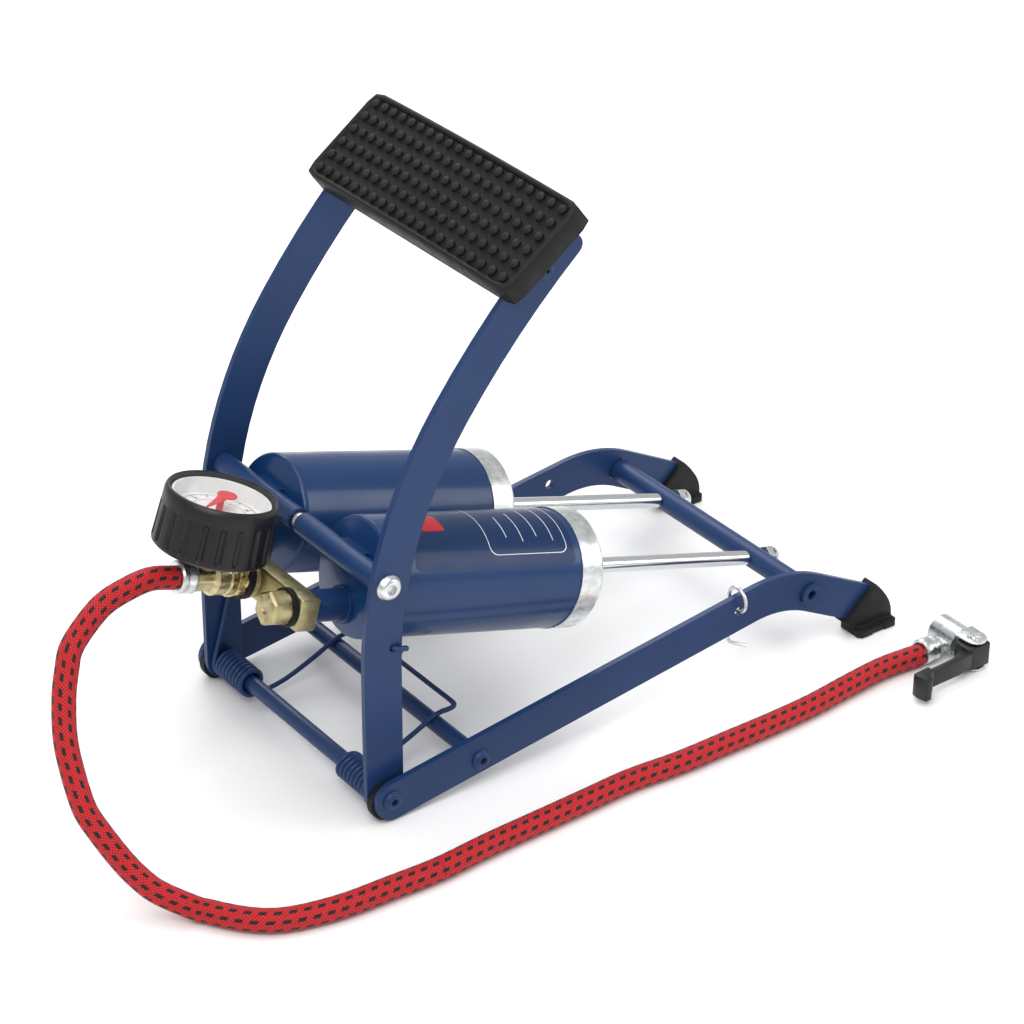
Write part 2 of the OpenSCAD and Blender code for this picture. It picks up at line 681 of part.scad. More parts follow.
module chuck_bush() {
    color("#1b1c1e") placed() translate([hx, -122 + touch, head_z]) rotate([-90, 0, 0]) difference() {
        cylinder(r = socket_r + 1.4 - touch, h = 12);
        translate([0, 0, 1]) cylinder(r = socket_r, h = 13);
    }
}
module chuck_plates() {
    color("#b4b7ba") placed() difference() {
        union() {
            translate([hx - 7, pin_y - 6, head_z + 7.1]) cube([14, 24, 1.4]);
            translate([hx - 7, pin_y - 6, 0.3]) cube([14, 24, 1.2]);
            translate([hx + 7.1, -128, 0.3]) cube([1.4, 10, head_z + 8.2]);
        }
        translate([hx - 1, pin_y, -1]) cylinder(r = 2 + touch, h = 30);
    }
}
module chuck_pin() {
    color("#8d9196") placed() translate([hx - 1, pin_y, 0.3]) {
        cylinder(r = 2, h = head_z + 8.2);
        translate([0, 0, head_z + 8.2]) cylinder(r = 3.4, h = 1.4, $fn = 14);
    }
}
module chuck_lever() {
    color("#1b1c1e") placed() difference() {
        union() {
            translate([hx - 8.4, pin_y - 6.5, 2.4]) cube([14, 12.4, 12.4]);
            translate([hx - lever_l, pin_y - 8.5, 3.4]) cube([lever_l - 8, 4, 10.4]);
            translate([hx - lever_l, pin_y - 14.5, 2.4]) cube([9, 7, 12.4]);
        }
        translate([hx - 1, pin_y, -1]) cylinder(r = 2 + gap, h = 30);
    }
}

side_rail_left();
side_rail_right();
front_axle();
stay_rod();
rail_rivets();
axle_discs();
rear_foot_left();
rear_foot_right();
return_spring();
storage_hook();
pedal_arm_left();
pedal_arm_right();
pedal_plate();
pedal_pad();
arm_rivets();
trunnion_shaft();
shaft_bolts();
barrel_left();
barrel_right();
barrel_sleeves();
rear_cap_left();
rear_cap_right();
outlet_spouts();
manifold_block();
banjo_bolts();
sealing_washers();
outlet_tee();
tee_nut();
gauge_case();
gauge_movement();
gauge_dial();
gauge_lens();
gauge_needle();
rear_cross_tube();
piston_rod_left();
piston_rod_right();
piston_washers();
dome_nuts();
pistons();
piston_cups();
rod_guides();
hose_ferrule_front();
hose();
hose_ferrule_rear();
chuck_body();
chuck_plates();
chuck_bush();
chuck_pin();
chuck_lever();
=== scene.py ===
"""Twin-barrel foot air pump: finishes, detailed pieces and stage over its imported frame.

Every length below is in metres in the frame of the pump: X towards the rear feet,
Y towards the far side, Z up from the floor.
"""
import math

import bmesh
import bpy
from bpy.props import FloatProperty, FloatVectorProperty, IntProperty, PointerProperty
from mathutils import Matrix, Vector


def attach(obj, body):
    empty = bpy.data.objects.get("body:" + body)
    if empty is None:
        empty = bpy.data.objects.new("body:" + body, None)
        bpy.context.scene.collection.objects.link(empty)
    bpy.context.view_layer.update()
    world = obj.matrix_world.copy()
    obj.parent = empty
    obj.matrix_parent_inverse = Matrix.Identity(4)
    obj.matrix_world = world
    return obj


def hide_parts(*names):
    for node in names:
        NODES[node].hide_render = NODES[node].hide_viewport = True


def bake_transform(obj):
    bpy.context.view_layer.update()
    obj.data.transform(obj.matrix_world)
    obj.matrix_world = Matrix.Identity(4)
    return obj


bl_info = {
    "name": "Foot Air Pump",
    "version": (1, 0, 0),
    "blender": (4, 5, 0),
    "location": "View3D > Sidebar > Foot Pump",
    "description": "Finishes and detailed pieces of a twin-barrel foot air pump",
    "category": "Object",
}

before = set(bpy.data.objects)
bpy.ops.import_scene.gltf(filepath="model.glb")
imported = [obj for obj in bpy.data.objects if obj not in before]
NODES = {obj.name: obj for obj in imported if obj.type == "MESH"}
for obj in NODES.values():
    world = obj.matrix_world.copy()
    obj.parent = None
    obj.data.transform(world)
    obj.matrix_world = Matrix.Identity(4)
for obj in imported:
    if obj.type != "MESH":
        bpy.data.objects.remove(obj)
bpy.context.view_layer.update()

AXLE = Vector((-0.116, 0.0, 0.0116))   # front axle, where the pedal and the base meet
TUBE = Vector((0.133, 0.0, 0.0339))    # rear cross tube, where lengths along the barrels start
TILT = math.radians(16.897)            # slope of the barrels at rest
FACE = 0.24906                         # front faces of the barrels
TEE = FACE + 0.034                     # front face of the brass manifold
SPOUT = -0.0135                        # height of the outlets from the barrels' axes
GAUGE = 0.30626                        # axis of the pressure gauge
BARREL_R = 0.0285                      # outside radius of a barrel
PITCH = 0.0356                         # axis of a barrel from the middle plane


def linear(text):
    """sRGB hex colour to linear red, green and blue."""
    values = [int(text[i:i + 2], 16) / 255 for i in (1, 3, 5)]
    return tuple(v / 12.92 if v <= 0.04045 else ((v + 0.055) / 1.055) ** 2.4 for v in values)


def rgba(colour):
    """A colour as four values, from a hex string or three linear ones."""
    return (*(linear(colour) if isinstance(colour, str) else colour), 1.0)


def on_barrel(along, up, across):
    """Point a distance along the barrels from the rear tube, above their axis and across."""
    c, s = math.cos(TILT), math.sin(TILT)
    return Vector((TUBE.x - along * c + up * s, across, TUBE.z + along * s + up * c))


def barrel_matrix(along=0.0, up=0.0, across=0.0):
    """Local X back along the barrels, local Z square to them and up."""
    c, s = math.cos(TILT), math.sin(TILT)
    turn = Matrix(((c, 0, s), (0, 1, 0), (-s, 0, c))).to_4x4()
    return Matrix.Translation(on_barrel(along, up, across)) @ turn


def turned(degrees, axis):
    """Rotation about one axis, in degrees."""
    return Matrix.Rotation(math.radians(degrees), 4, axis)


def moved(x, y, z):
    """Translation by three lengths."""
    return Matrix.Translation(Vector((x, y, z)))


def arc(x, y, radius, angles):
    """Points round a centre, at angles in degrees."""
    return [(x + radius * math.cos(math.radians(a)), y + radius * math.sin(math.radians(a)))
            for a in angles]


def forward_matrix(along, up, across):
    """Local Z forward along the barrels, for pieces turned about that line."""
    return barrel_matrix(along, up, across) @ turned(-90, "Y")


# ---------------------------------------------------------------- sizes and colours


class PumpSettings(bpy.types.PropertyGroup):
    """Sizes and colours that change the look of the pump."""

    coat: FloatVectorProperty(
        name="Frame coat", description="Powder coat of the rails, arms and rods",
        subtype="COLOR", size=3, min=0, max=1, default=linear("#1A3560"))
    enamel: FloatVectorProperty(
        name="Barrel enamel", description="Gloss enamel of the two barrels",
        subtype="COLOR", size=3, min=0, max=1, default=linear("#103462"))
    braid: FloatVectorProperty(
        name="Braid", description="Polyester yarn of the hose sleeve",
        subtype="COLOR", size=3, min=0, max=1, default=linear("#C01A20"))
    fleck: FloatVectorProperty(
        name="Tracer", description="Dark tracer yarn in the hose sleeve",
        subtype="COLOR", size=3, min=0, max=1, default=linear("#141214"))
    hose_diameter: FloatProperty(
        name="Hose diameter", description="Outside diameter of the braided hose",
        unit="LENGTH", default=0.011, min=0.008, max=0.013)
    fleck_pitch: FloatProperty(
        name="Tracer pitch", description="Distance between tracer flecks along the hose",
        unit="LENGTH", default=0.0064, min=0.004, max=0.02)
    yarn: FloatProperty(
        name="Yarn width", description="Width of one yarn bundle in the sleeve",
        unit="LENGTH", default=0.0012, min=0.0006, max=0.003)
    stud_rows: IntProperty(
        name="Stud rows", description="Rows of studs down the tread", default=6, min=4, max=8)
    stud_columns: IntProperty(
        name="Stud columns", description="Studs across the tread", default=20, min=14, max=26)
    stud_diameter: FloatProperty(
        name="Stud diameter", description="Diameter of one stud of the tread",
        unit="LENGTH", default=0.0047, min=0.003, max=0.006)
    grips: IntProperty(
        name="Gauge grips", description="Raised grips around the gauge case",
        default=20, min=12, max=30)
    wire: FloatProperty(
        name="Spring wire", description="Wire diameter of the return spring",
        unit="LENGTH", default=0.0025, min=0.002, max=0.0032)
    turns: IntProperty(
        name="Spring turns", description="Turns in each coil of the spring",
        default=8, min=5, max=10)


def settings():
    return bpy.context.scene.foot_pump


# ---------------------------------------------------------------- finishes


def add_node(tree, kind, props=None, values=None, links=None):
    """Adds one shader node, sets it up and joins its inputs."""
    node = tree.nodes.new(kind)
    for key, value in (props or {}).items():
        setattr(node, key, value)
    for key, value in (values or {}).items():
        node.inputs[key].default_value = value
    for key, value in (links or {}).items():
        tree.links.new(value, node.inputs[key])
    return node


def blank(name, values):
    """A new material with its shader's own sockets set."""
    material = bpy.data.materials.new(name)
    material.use_nodes = True
    shader = material.node_tree.nodes["Principled BSDF"]
    for key, value in values.items():
        shader.inputs[key].default_value = value
    return material, material.node_tree, shader


def place(tree):
    """Coordinates in metres, fixed to the piece."""
    return add_node(tree, "ShaderNodeTexCoord").outputs["Object"]


def ramp_between(tree, fac, low, high, first, second):
    """Colour ramp from first to second between two positions."""
    node = add_node(tree, "ShaderNodeValToRGB", links={"Fac": fac})
    node.color_ramp.elements[0].position = low
    node.color_ramp.elements[1].position = high
    node.color_ramp.elements[0].color = rgba(first)
    node.color_ramp.elements[1].color = rgba(second)
    return node.outputs["Color"]


def shade(colour, factor):
    """The same colour, lighter or darker."""
    base = linear(colour) if isinstance(colour, str) else tuple(colour)
    return tuple(min(1.0, c * factor) for c in base)


def mottled(tree, shader, where, size, first, second, low=0.35, high=0.65, detail=3.0):
    """Two close colours in patches of one real size."""
    noise = add_node(tree, "ShaderNodeTexNoise", values={"Scale": 1 / size, "Detail": detail},
                     links={"Vector": where})
    tree.links.new(ramp_between(tree, noise.outputs["Fac"], low, high, first, second),
                   shader.inputs["Base Color"])


def uneven_gloss(tree, shader, where, size, low, high):
    """Roughness that wanders between two values."""
    noise = add_node(tree, "ShaderNodeTexNoise", values={"Scale": 1 / size, "Detail": 4.0},
                     links={"Vector": where})
    span = add_node(tree, "ShaderNodeMapRange", values={"From Min": 0.3, "From Max": 0.7,
                                                         "To Min": low, "To Max": high},
                    links={"Value": noise.outputs["Fac"]})
    tree.links.new(span.outputs["Result"], shader.inputs["Roughness"])


def grain(tree, shader, where, size, height, edge=0.0, detail=2.0):
    """Fine surface grain of one real size, over edges rounded by a small radius."""
    noise = add_node(tree, "ShaderNodeTexNoise", values={"Scale": 1 / size, "Detail": detail},
                     links={"Vector": where})
    bump = add_node(tree, "ShaderNodeBump", values={"Strength": 1.0, "Distance": height},
                    links={"Height": noise.outputs["Fac"]})
    if edge > 0:
        rounding = add_node(tree, "ShaderNodeBevel", props={"samples": 4}, values={"Radius": edge})
        tree.links.new(rounding.outputs["Normal"], bump.inputs["Normal"])
    tree.links.new(bump.outputs["Normal"], shader.inputs["Normal"])


def surface(name, values, patches, gloss=None, fine=None):
    """A finish of two mottled colours, with roughness that wanders and a fine grain."""
    material, tree, shader = blank(name, values)
    where = place(tree)
    mottled(tree, shader, where, *patches)
    if gloss:
        uneven_gloss(tree, shader, where, *gloss)
    if fine:
        grain(tree, shader, where, *fine)
    return material


def powder_coated_steel():
    """Polyester powder coat: satin, with a faint orange peel about 1.5 mm across."""
    colour = settings().coat
    return surface("powder_coated_steel", {"Metallic": 0.0, "IOR": 1.52, "Specular IOR Level": 0.26,
                                           "Coat Weight": 0.06, "Coat Roughness": 0.25},
                   (0.06, shade(colour, 0.93), shade(colour, 1.07)),
                   (0.02, 0.34, 0.44), (0.0015, 0.00002, 0.0006))


def enamelled_steel():
    """Stoved enamel on rolled tube: deeper and glossier than the frame."""
    colour = settings().enamel
    return surface("enamelled_steel", {"Metallic": 0.0, "IOR": 1.53, "Specular IOR Level": 0.24,
                                       "Coat Weight": 0.22, "Coat Roughness": 0.1},
                   (0.08, shade(colour, 0.94), shade(colour, 1.06)),
                   (0.03, 0.26, 0.36), (0.003, 0.00001, 0.0005))


def zinc_plated_steel():
    """Bright passivated zinc: grey-white metal with cloudy patches about 4 mm across."""
    return surface("zinc_plated_steel", {"Metallic": 1.0}, (0.004, "#C3C7C8", "#E9EBEB", 0.3, 0.7),
                   (0.003, 0.22, 0.4), (0.0012, 0.00002, 0.0004))


def ground_rod_steel():
    """Centreless-ground rod: fine rings round it 0.3 mm apart, drawn coarse enough to show."""
    material, tree, shader = blank("ground_rod_steel", {"Metallic": 1.0, "Roughness": 0.2,
        "Base Color": rgba("#D5D7D8")})
    where = place(tree)
    rings = add_node(tree, "ShaderNodeTexWave", props={"bands_direction": "X"},
                     values={"Scale": 320.0, "Distortion": 1.5, "Detail": 2.0},
                     links={"Vector": where})
    bump = add_node(tree, "ShaderNodeBump", values={"Strength": 0.5, "Distance": 0.00002},
                    links={"Height": rings.outputs["Fac"]})
    tree.links.new(bump.outputs["Normal"], shader.inputs["Normal"])
    return material


def machined_brass():
    """Pale free-cutting brass, tumbled: dull gold with greyer patches and a fine grain."""
    return surface("machined_brass", {"Metallic": 1.0}, (0.005, "#A0956D", "#C3B98F", 0.3, 0.7),
                   (0.002, 0.34, 0.5), (0.0005, 0.00003, 0.0008))


def yellow_passivated_zinc():
    """Yellow chromate over zinc: pale gold that drifts towards olive, glossier than the brass."""
    return surface("yellow_passivated_zinc", {"Metallic": 1.0},
                   (0.006, "#B5A87C", "#DDD2A6", 0.3, 0.7), (0.004, 0.16, 0.3),
                   (0.001, 0.00002, 0.0006))


def moulded_rubber():
    """Carbon-filled rubber: soft black with a dusty bloom and a 0.6 mm moulded grain."""
    return surface("moulded_rubber", {"Metallic": 0.0, "IOR": 1.52, "Specular IOR Level": 0.25},
                   (0.012, "#0E0F10", "#161718"), (0.006, 0.5, 0.66), (0.0006, 0.00006, 0.0006))


def moulded_abs():
    """Black ABS: smooth moulding with a low sheen and a faint 0.8 mm texture."""
    return surface("moulded_abs", {"Metallic": 0.0, "IOR": 1.53, "Specular IOR Level": 0.35},
                   (0.02, "#101113", "#17181A"), (0.008, 0.34, 0.48), (0.0008, 0.00003, 0.0005))


def dial_enamel():
    """Stoved white enamel on aluminium: nearly even, with a soft gloss under the window."""
    return surface("dial_enamel", {"Metallic": 0.0, "IOR": 1.5, "Specular IOR Level": 0.4},
                   (0.01, "#D6D7D6", "#E0E0DF"), (0.01, 0.22, 0.3), (0.0005, 0.000004))


def needle_paint():
    """Signal red paint: flat and slightly orange-peeled."""
    return surface("needle_paint", {"Metallic": 0.0, "IOR": 1.5, "Roughness": 0.42},
                   (0.003, "#C3161A", "#D5201F"), None, (0.0004, 0.00001))


def dial_ink(name, colour):
    """Screen ink on the dial: flat, with slightly uneven cover."""
    return surface(name, {"Metallic": 0.0, "IOR": 1.5, "Roughness": 0.55},
                   (0.001, shade(colour, 0.8), shade(colour, 1.2)))


def clear_acrylic():
    """Polished acrylic window: a thin clear sheet that greys slightly where it catches light."""
    return surface("clear_acrylic", {"Metallic": 0.0, "IOR": 1.49, "Alpha": 0.03,
                                     "Coat Weight": 0.25, "Coat Roughness": 0.03},
                   (0.03, "#E4E8EA", "#F2F4F5"), (0.02, 0.03, 0.07))


def label_film(name, colour, gloss):
    """Printed vinyl film: flat colour under a smooth clear face."""
    return surface(name, {"Metallic": 0.0, "IOR": 1.5, "Specular IOR Level": 0.2,
                          "Coat Weight": 0.12, "Coat Roughness": gloss},
                   (0.02, shade(colour, 0.95), shade(colour, 1.05)), (0.01, 0.3, 0.4))


def braided_polyester():
    """Red polyester sleeve: yarn bundles crossing at about 45 degrees, and eight lines of
    slanted black tracer flecks staggered round the hose, with painted shade in the gaps
    between the bundles and a painted highlight on their crowns."""
    look = settings()
    material, tree, shader = blank("braided_polyester", {
        "Metallic": 0.0, "IOR": 1.53, "Roughness": 0.62, "Specular IOR Level": 0.3,
        "Sheen Weight": 0.08, "Sheen Roughness": 0.4})
    uv = add_node(tree, "ShaderNodeTexCoord").outputs["UV"]
    split = add_node(tree, "ShaderNodeSeparateXYZ", links={"Vector": uv})
    length, turn = split.outputs["X"], split.outputs["Y"]

    def calc(kind, first, second=None):
        node = add_node(tree, "ShaderNodeMath", props={"operation": kind})
        for socket, value in zip(node.inputs, (first, second)):
            if isinstance(value, (int, float)):
                socket.default_value = value
            elif value is not None:
                tree.links.new(value, socket)
        return node.outputs["Value"]

    step = look.yarn * 1.45
    around = round(math.pi * look.hose_diameter / step)
    flecks, slant, half_length, half_width = 8.0, 0.34, 0.27, 0.2
    first = calc("ADD", calc("DIVIDE", length, step), calc("MULTIPLY", turn, float(around)))
    second = calc("SUBTRACT", calc("DIVIDE", length, step), calc("MULTIPLY", turn, float(around)))
    one = calc("ABSOLUTE", calc("SINE", calc("MULTIPLY", first, math.pi)))
    two = calc("ABSOLUTE", calc("SINE", calc("MULTIPLY", second, math.pi)))
    weave = calc("MULTIPLY", calc("ADD", one, two), 0.5)
    column = calc("MULTIPLY", turn, flecks)
    row = calc("DIVIDE", length, look.fleck_pitch)
    stagger = calc("MULTIPLY", calc("MODULO", calc("FLOOR", column), 2.0), 0.5)
    in_column = calc("SUBTRACT", calc("FRACT", column), 0.5)
    slanted = calc("ADD", calc("ADD", row, stagger), calc("MULTIPLY", in_column, slant))
    in_row = calc("SUBTRACT", calc("FRACT", slanted), 0.5)
    wide = calc("LESS_THAN", calc("ABSOLUTE", in_row), half_length)
    narrow = calc("LESS_THAN", calc("ABSOLUTE", in_column), half_width)
    tracer = calc("MULTIPLY", wide, narrow)
    # painted shade: the yarn colour falls to 0.42 of the braid in the gaps between bundles and a
    # painted highlight lifts it to 1.12 on their crowns; the tracer colour is shaded the same way
    yarn = ramp_between(tree, weave, 0.25, 0.85, shade(look.braid, 0.42), shade(look.braid, 1.12))
    painted_shade_tracer = ramp_between(tree, weave, 0.3, 0.9, shade(look.fleck, 0.6), shade(look.fleck, 1.6))
    mix = add_node(tree, "ShaderNodeMix", props={"data_type": "RGBA"})
    mix_factor, mix_first, mix_second, mix_result = 0, 6, 7, 2
    tree.links.new(tracer, mix.inputs[mix_factor])
    tree.links.new(yarn, mix.inputs[mix_first])
    tree.links.new(painted_shade_tracer, mix.inputs[mix_second])
    tree.links.new(mix.outputs[mix_result], shader.inputs["Base Color"])
    bump = add_node(tree, "ShaderNodeBump", values={"Strength": 0.9, "Distance": 0.0004},
                    links={"Height": weave})
    tree.links.new(bump.outputs["Normal"], shader.inputs["Normal"])
    return material


FINISHES = {}


def finish(name):
    """Each finish is made once, when a piece first needs it."""
    makers = {
        "coat": powder_coated_steel, "enamel": enamelled_steel, "zinc": zinc_plated_steel,
        "rod": ground_rod_steel, "brass": machined_brass, "yellow_zinc": yellow_passivated_zinc,
        "rubber": moulded_rubber, "abs": moulded_abs, "dial": dial_enamel,
        "red": needle_paint, "acrylic": clear_acrylic, "braid": braided_polyester,
        "black_ink": lambda: dial_ink("black_dial_ink", "#1A1A1C"),
        "red_ink": lambda: dial_ink("red_dial_ink", "#B8201E"),
        "label": lambda: label_film("navy_label_film", "#0B2A52", 0.1),
        "label_line": lambda: label_film("white_label_print", "#D9E0E6", 0.15),
        "label_red": lambda: label_film("red_label_print", "#B3202A", 0.12),
    }
    if name not in FINISHES:
        FINISHES[name] = makers[name]()
    return FINISHES[name]


def dress(names, finish_name):
    """Gives carried-over pieces their finish."""
    for name in names:
        slots = NODES[name].data.materials
        slots.clear()
        slots.append(finish(finish_name))


# ---------------------------------------------------------------- shape helpers


def settle(mesh_data, name, finish_name, smooth=35):
    """Turns a bmesh into a shaded object."""
    data = bpy.data.meshes.new(name)
    bmesh.ops.recalc_face_normals(mesh_data, faces=mesh_data.faces)
    mesh_data.to_mesh(data)
    mesh_data.free()
    piece = bpy.data.objects.new(name, data)
    bpy.context.scene.collection.objects.link(piece)
    data.materials.append(finish(finish_name))
    data.shade_smooth()
    limit = math.cos(math.radians(smooth))
    work = bmesh.new()
    work.from_mesh(data)
    for edge in work.edges:
        if len(edge.link_faces) == 2:
            edge.smooth = edge.link_faces[0].normal.dot(edge.link_faces[1].normal) > limit
    work.to_mesh(data)
    work.free()
    return piece


def soften(mesh_data, width, segments=3, angle=30):
    """Rounds the sharp edges of a bmesh."""
    limit = math.cos(math.radians(angle))
    mesh_data.normal_update()
    sharp = [e for e in mesh_data.edges if len(e.link_faces) == 2
             and e.link_faces[0].normal.dot(e.link_faces[1].normal) < limit]
    bmesh.ops.bevel(mesh_data, geom=sharp, offset=width, segments=segments, profile=0.5,
                    affect="EDGES", clamp_overlap=True)


def add_prism(mesh_data, outline, low, high, matrix=Matrix.Identity(4)):
    """Adds a closed outline raised from low to high along local Z."""
    bottom = [mesh_data.verts.new(matrix @ Vector((x, y, low))) for x, y in outline]
    top = [mesh_data.verts.new(matrix @ Vector((x, y, high))) for x, y in outline]
    mesh_data.faces.new(bottom[::-1])
    mesh_data.faces.new(top)
    for i in range(len(outline)):
        k = (i + 1) % len(outline)
        mesh_data.faces.new((bottom[i], bottom[k], top[k], top[i]))


def add_block(mesh_data, outline, low, high, rounding, segments=3, matrix=Matrix.Identity(4)):
    """Adds a raised outline with its own edges rounded."""
    part = bmesh.new()
    add_prism(part, outline, low, high, matrix)
    soften(part, rounding, segments)
    holder = bpy.data.meshes.new("part")
    part.to_mesh(holder)
    part.free()
    mesh_data.from_mesh(holder)
    bpy.data.meshes.remove(holder)


def add_lathe(mesh_data, profile, matrix, segments=48, radius_of=None):
    """Turns radius and height pairs about local Z. radius_of may vary the radius by angle."""
    rings = []
    for k, (radius, height) in enumerate(profile):
        if radius < 1e-7:
            rings.append([mesh_data.verts.new(matrix @ Vector((0, 0, height)))])
            continue
        ring = []
        for i in range(segments):
            a = 2 * math.pi * i / segments
            r = radius_of(k, radius, a) if radius_of else radius
            spot = matrix @ Vector((r * math.cos(a), r * math.sin(a), height))
            ring.append(mesh_data.verts.new(spot))
        rings.append(ring)
    for low, high in zip(rings, rings[1:]):
        for i in range(segments):
            k = (i + 1) % segments
            if len(low) == 1:
                mesh_data.faces.new((low[0], high[k], high[i]))
            elif len(high) == 1:
                mesh_data.faces.new((low[i], low[k], high[0]))
            else:
                mesh_data.faces.new((low[i], low[k], high[k], high[i]))


def smooth_path(points, cuts):
    """Catmull-Rom curve through the points."""
    pts = [Vector(p) for p in points]
    out = []
    for i in range(len(pts) - 1):
        a, b = pts[max(i - 1, 0)], pts[i]
        c, d = pts[i + 1], pts[min(i + 2, len(pts) - 1)]
        for k in range(cuts):
            t = k / cuts
            out.append(0.5 * (2 * b + (c - a) * t + (2 * a - 5 * b + 4 * c - d) * t * t
                              + (3 * b - a - 3 * c + d) * t ** 3))
    out.append(pts[-1])
    return out


def add_tube(mesh_data, path, radius, sides, start_up=Vector((1, 0, 0)), offset=0.0, caps=True):
    """Sweeps a round section along a path, and lays UVs as metres along and turns round."""
    uv = mesh_data.loops.layers.uv.verify()
    tangents = [(path[min(i + 1, len(path) - 1)] - path[max(i - 1, 0)]).normalized()
                for i in range(len(path))]
    normal = (start_up - tangents[0] * start_up.dot(tangents[0])).normalized()
    rings, reach = [], [offset]
    for i, (point, tangent) in enumerate(zip(path, tangents)):
        normal = (normal - tangent * normal.dot(tangent)).normalized()
        side = tangent.cross(normal)
        if i:
            reach.append(reach[-1] + (point - path[i - 1]).length)
        ring = []
        for k in range(sides):
            a = 2 * math.pi * k / sides
            out = math.cos(a) * normal + math.sin(a) * side
            ring.append(mesh_data.verts.new(point + radius * out))
        rings.append(ring)
    for i in range(len(path) - 1):
        for k in range(sides):
            m = (k + 1) % sides
            face = mesh_data.faces.new((rings[i][k], rings[i][m], rings[i + 1][m], rings[i + 1][k]))
            places = ((reach[i], k), (reach[i], k + 1), (reach[i + 1], k + 1), (reach[i + 1], k))
            for loop, (x, turn) in zip(face.loops, places):
                loop[uv].uv = (x, turn / sides)
    if caps:
        mesh_data.faces.new(rings[0][::-1])
        mesh_data.faces.new(rings[-1])
    return normal, reach[-1]


def join_frame(piece, body, slot, *nodes):
    """Rides a new piece on its body in place of the nodes it stands for."""
    if body:
        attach(piece, body)
    if nodes:
        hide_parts(*nodes)
    return piece


def make(work, name, finish_name, body, slot, *nodes, smooth=35):
    """Settles a bmesh and rides it on its body in place of the nodes it stands for."""
    return join_frame(settle(work, name, finish_name, smooth), body, slot, *nodes)


def to_flats(radius, angle):
    """Radius of a hexagon at an angle, for corners that reach the given radius."""
    from_flat = math.degrees(angle) % 60 - 30
    return radius * math.cos(math.radians(30)) / math.cos(math.radians(from_flat))


# ---------------------------------------------------------------- stage


class PUMP_OT_stage(bpy.types.Operator):
    """Pale floor, soft studio light and the camera"""

    bl_idname = "pump.stage"
    bl_label = "Stage"

    def execute(self, context):
        scene = context.scene
        az, el, roll = math.radians(-36.19), math.radians(30.01), math.radians(0.33)
        back = Vector((math.sin(az) * math.cos(el), -math.cos(az) * math.cos(el), math.sin(el)))
        right = (-back).cross(Vector((0, 0, 1))).normalized()
        up = right.cross(-back)
        across = right * math.cos(roll) + up * math.sin(roll)
        upright = up * math.cos(roll) - right * math.sin(roll)
        data = bpy.data.cameras.new("camera")
        data.lens = 113.43
        data.sensor_width = 36.0
        data.clip_end = 50.0
        camera = bpy.data.objects.new("camera", data)
        turn = Matrix((across, upright, back)).transposed().to_4x4()
        camera.matrix_world = moved(-0.7875, -1.0875, 0.8637) @ turn
        scene.collection.objects.link(camera)
        scene.camera = camera
        scene.view_settings.view_transform = "Standard"

        world = bpy.data.worlds.new("studio")
        scene.world = world
        world.use_nodes = True
        world.node_tree.nodes["Background"].inputs["Color"].default_value = rgba("#FFFFFF")
        world.node_tree.nodes["Background"].inputs["Strength"].default_value = 0.62
        floor_mesh = bmesh.new()
        bmesh.ops.create_grid(floor_mesh, x_segments=2, y_segments=2, size=4.0)
        floor_data = bpy.data.meshes.new("studio_floor")
        floor_mesh.to_mesh(floor_data)
        floor_mesh.free()
        floor = bpy.data.objects.new("studio_floor", floor_data)
        floor.location = (0, 0, -0.0003)
        scene.collection.objects.link(floor)
        paper, tree, shader = blank("white_paper_sweep",
                                    {"Roughness": 0.9, "Specular IOR Level": 0.1})
        mottled(tree, shader, place(tree), 0.4, "#F2F2F2", "#F6F6F6")
        floor_data.materials.append(paper)
        target = Vector((0, 0, 0.08))
        lamps = (("key_softbox", (-1.1, -0.9, 1.9), 1.3, 26.0),
                 ("far_softbox", (0.6, 1.6, 1.5), 1.2, 16.0),
                 ("side_strip", (1.5, -1.2, 0.9), 0.9, 9.0),
                 ("top_panel", (0.1, 0.1, 2.3), 1.6, 16.0))
        for name, spot, size, power in lamps:
            lamp = bpy.data.lights.new(name, "AREA")
            lamp.shape = "SQUARE"
            lamp.size = size
            lamp.energy = power
            holder = bpy.data.objects.new(name, lamp)
            holder.location = spot
            aim = target - Vector(spot)
            holder.rotation_euler = aim.to_track_quat("-Z", "Y").to_euler()
            scene.collection.objects.link(holder)
        return {"FINISHED"}


# ---------------------------------------------------------------- hose


HOSE_FRONT = [(-179, 0, 114.2), (-192, 0, 118), (-207, -1, 117), (-218, -2, 114), (-229, -4, 107),
    (-237, -7, 101), (-241, -10, 94), (-245, -14, 87), (-248, -18, 80), (-251, -23, 73),
    (-253, -28, 66), (-254, -33, 59), (-255, -39, 52), (-255, -45, 44), (-253, -51, 37),
    (-248, -61, 25), (-244, -70, 18), (-239, -79, 13), (-226, -91, 5.5), (-221, -98, 5.5),
    (-215, -106, 5.5), (-208, -113, 5.5), (-200, -118, 5.5), (-188, -122, 5.5),
    (-171, -125, 5.5), (-150, -126, 5.5), (-124, -127, 5.5)]
HOSE_FLOOR = [(-124, -127, 5.5), (-96, -125, 5.5), (-68, -124, 5.5), (-40, -123, 5.5),
    (-12, -122, 5.5), (16, -124, 5.5), (44, -124, 5.5), (72, -124, 5.5), (98, -123, 5.5),
    (124, -120, 5.5), (148, -118, 5.5), (171, -119.5, 5.5)]


def metres(points):
    """Millimetres to metres."""
    return [Vector(p) / 1000 for p in points]


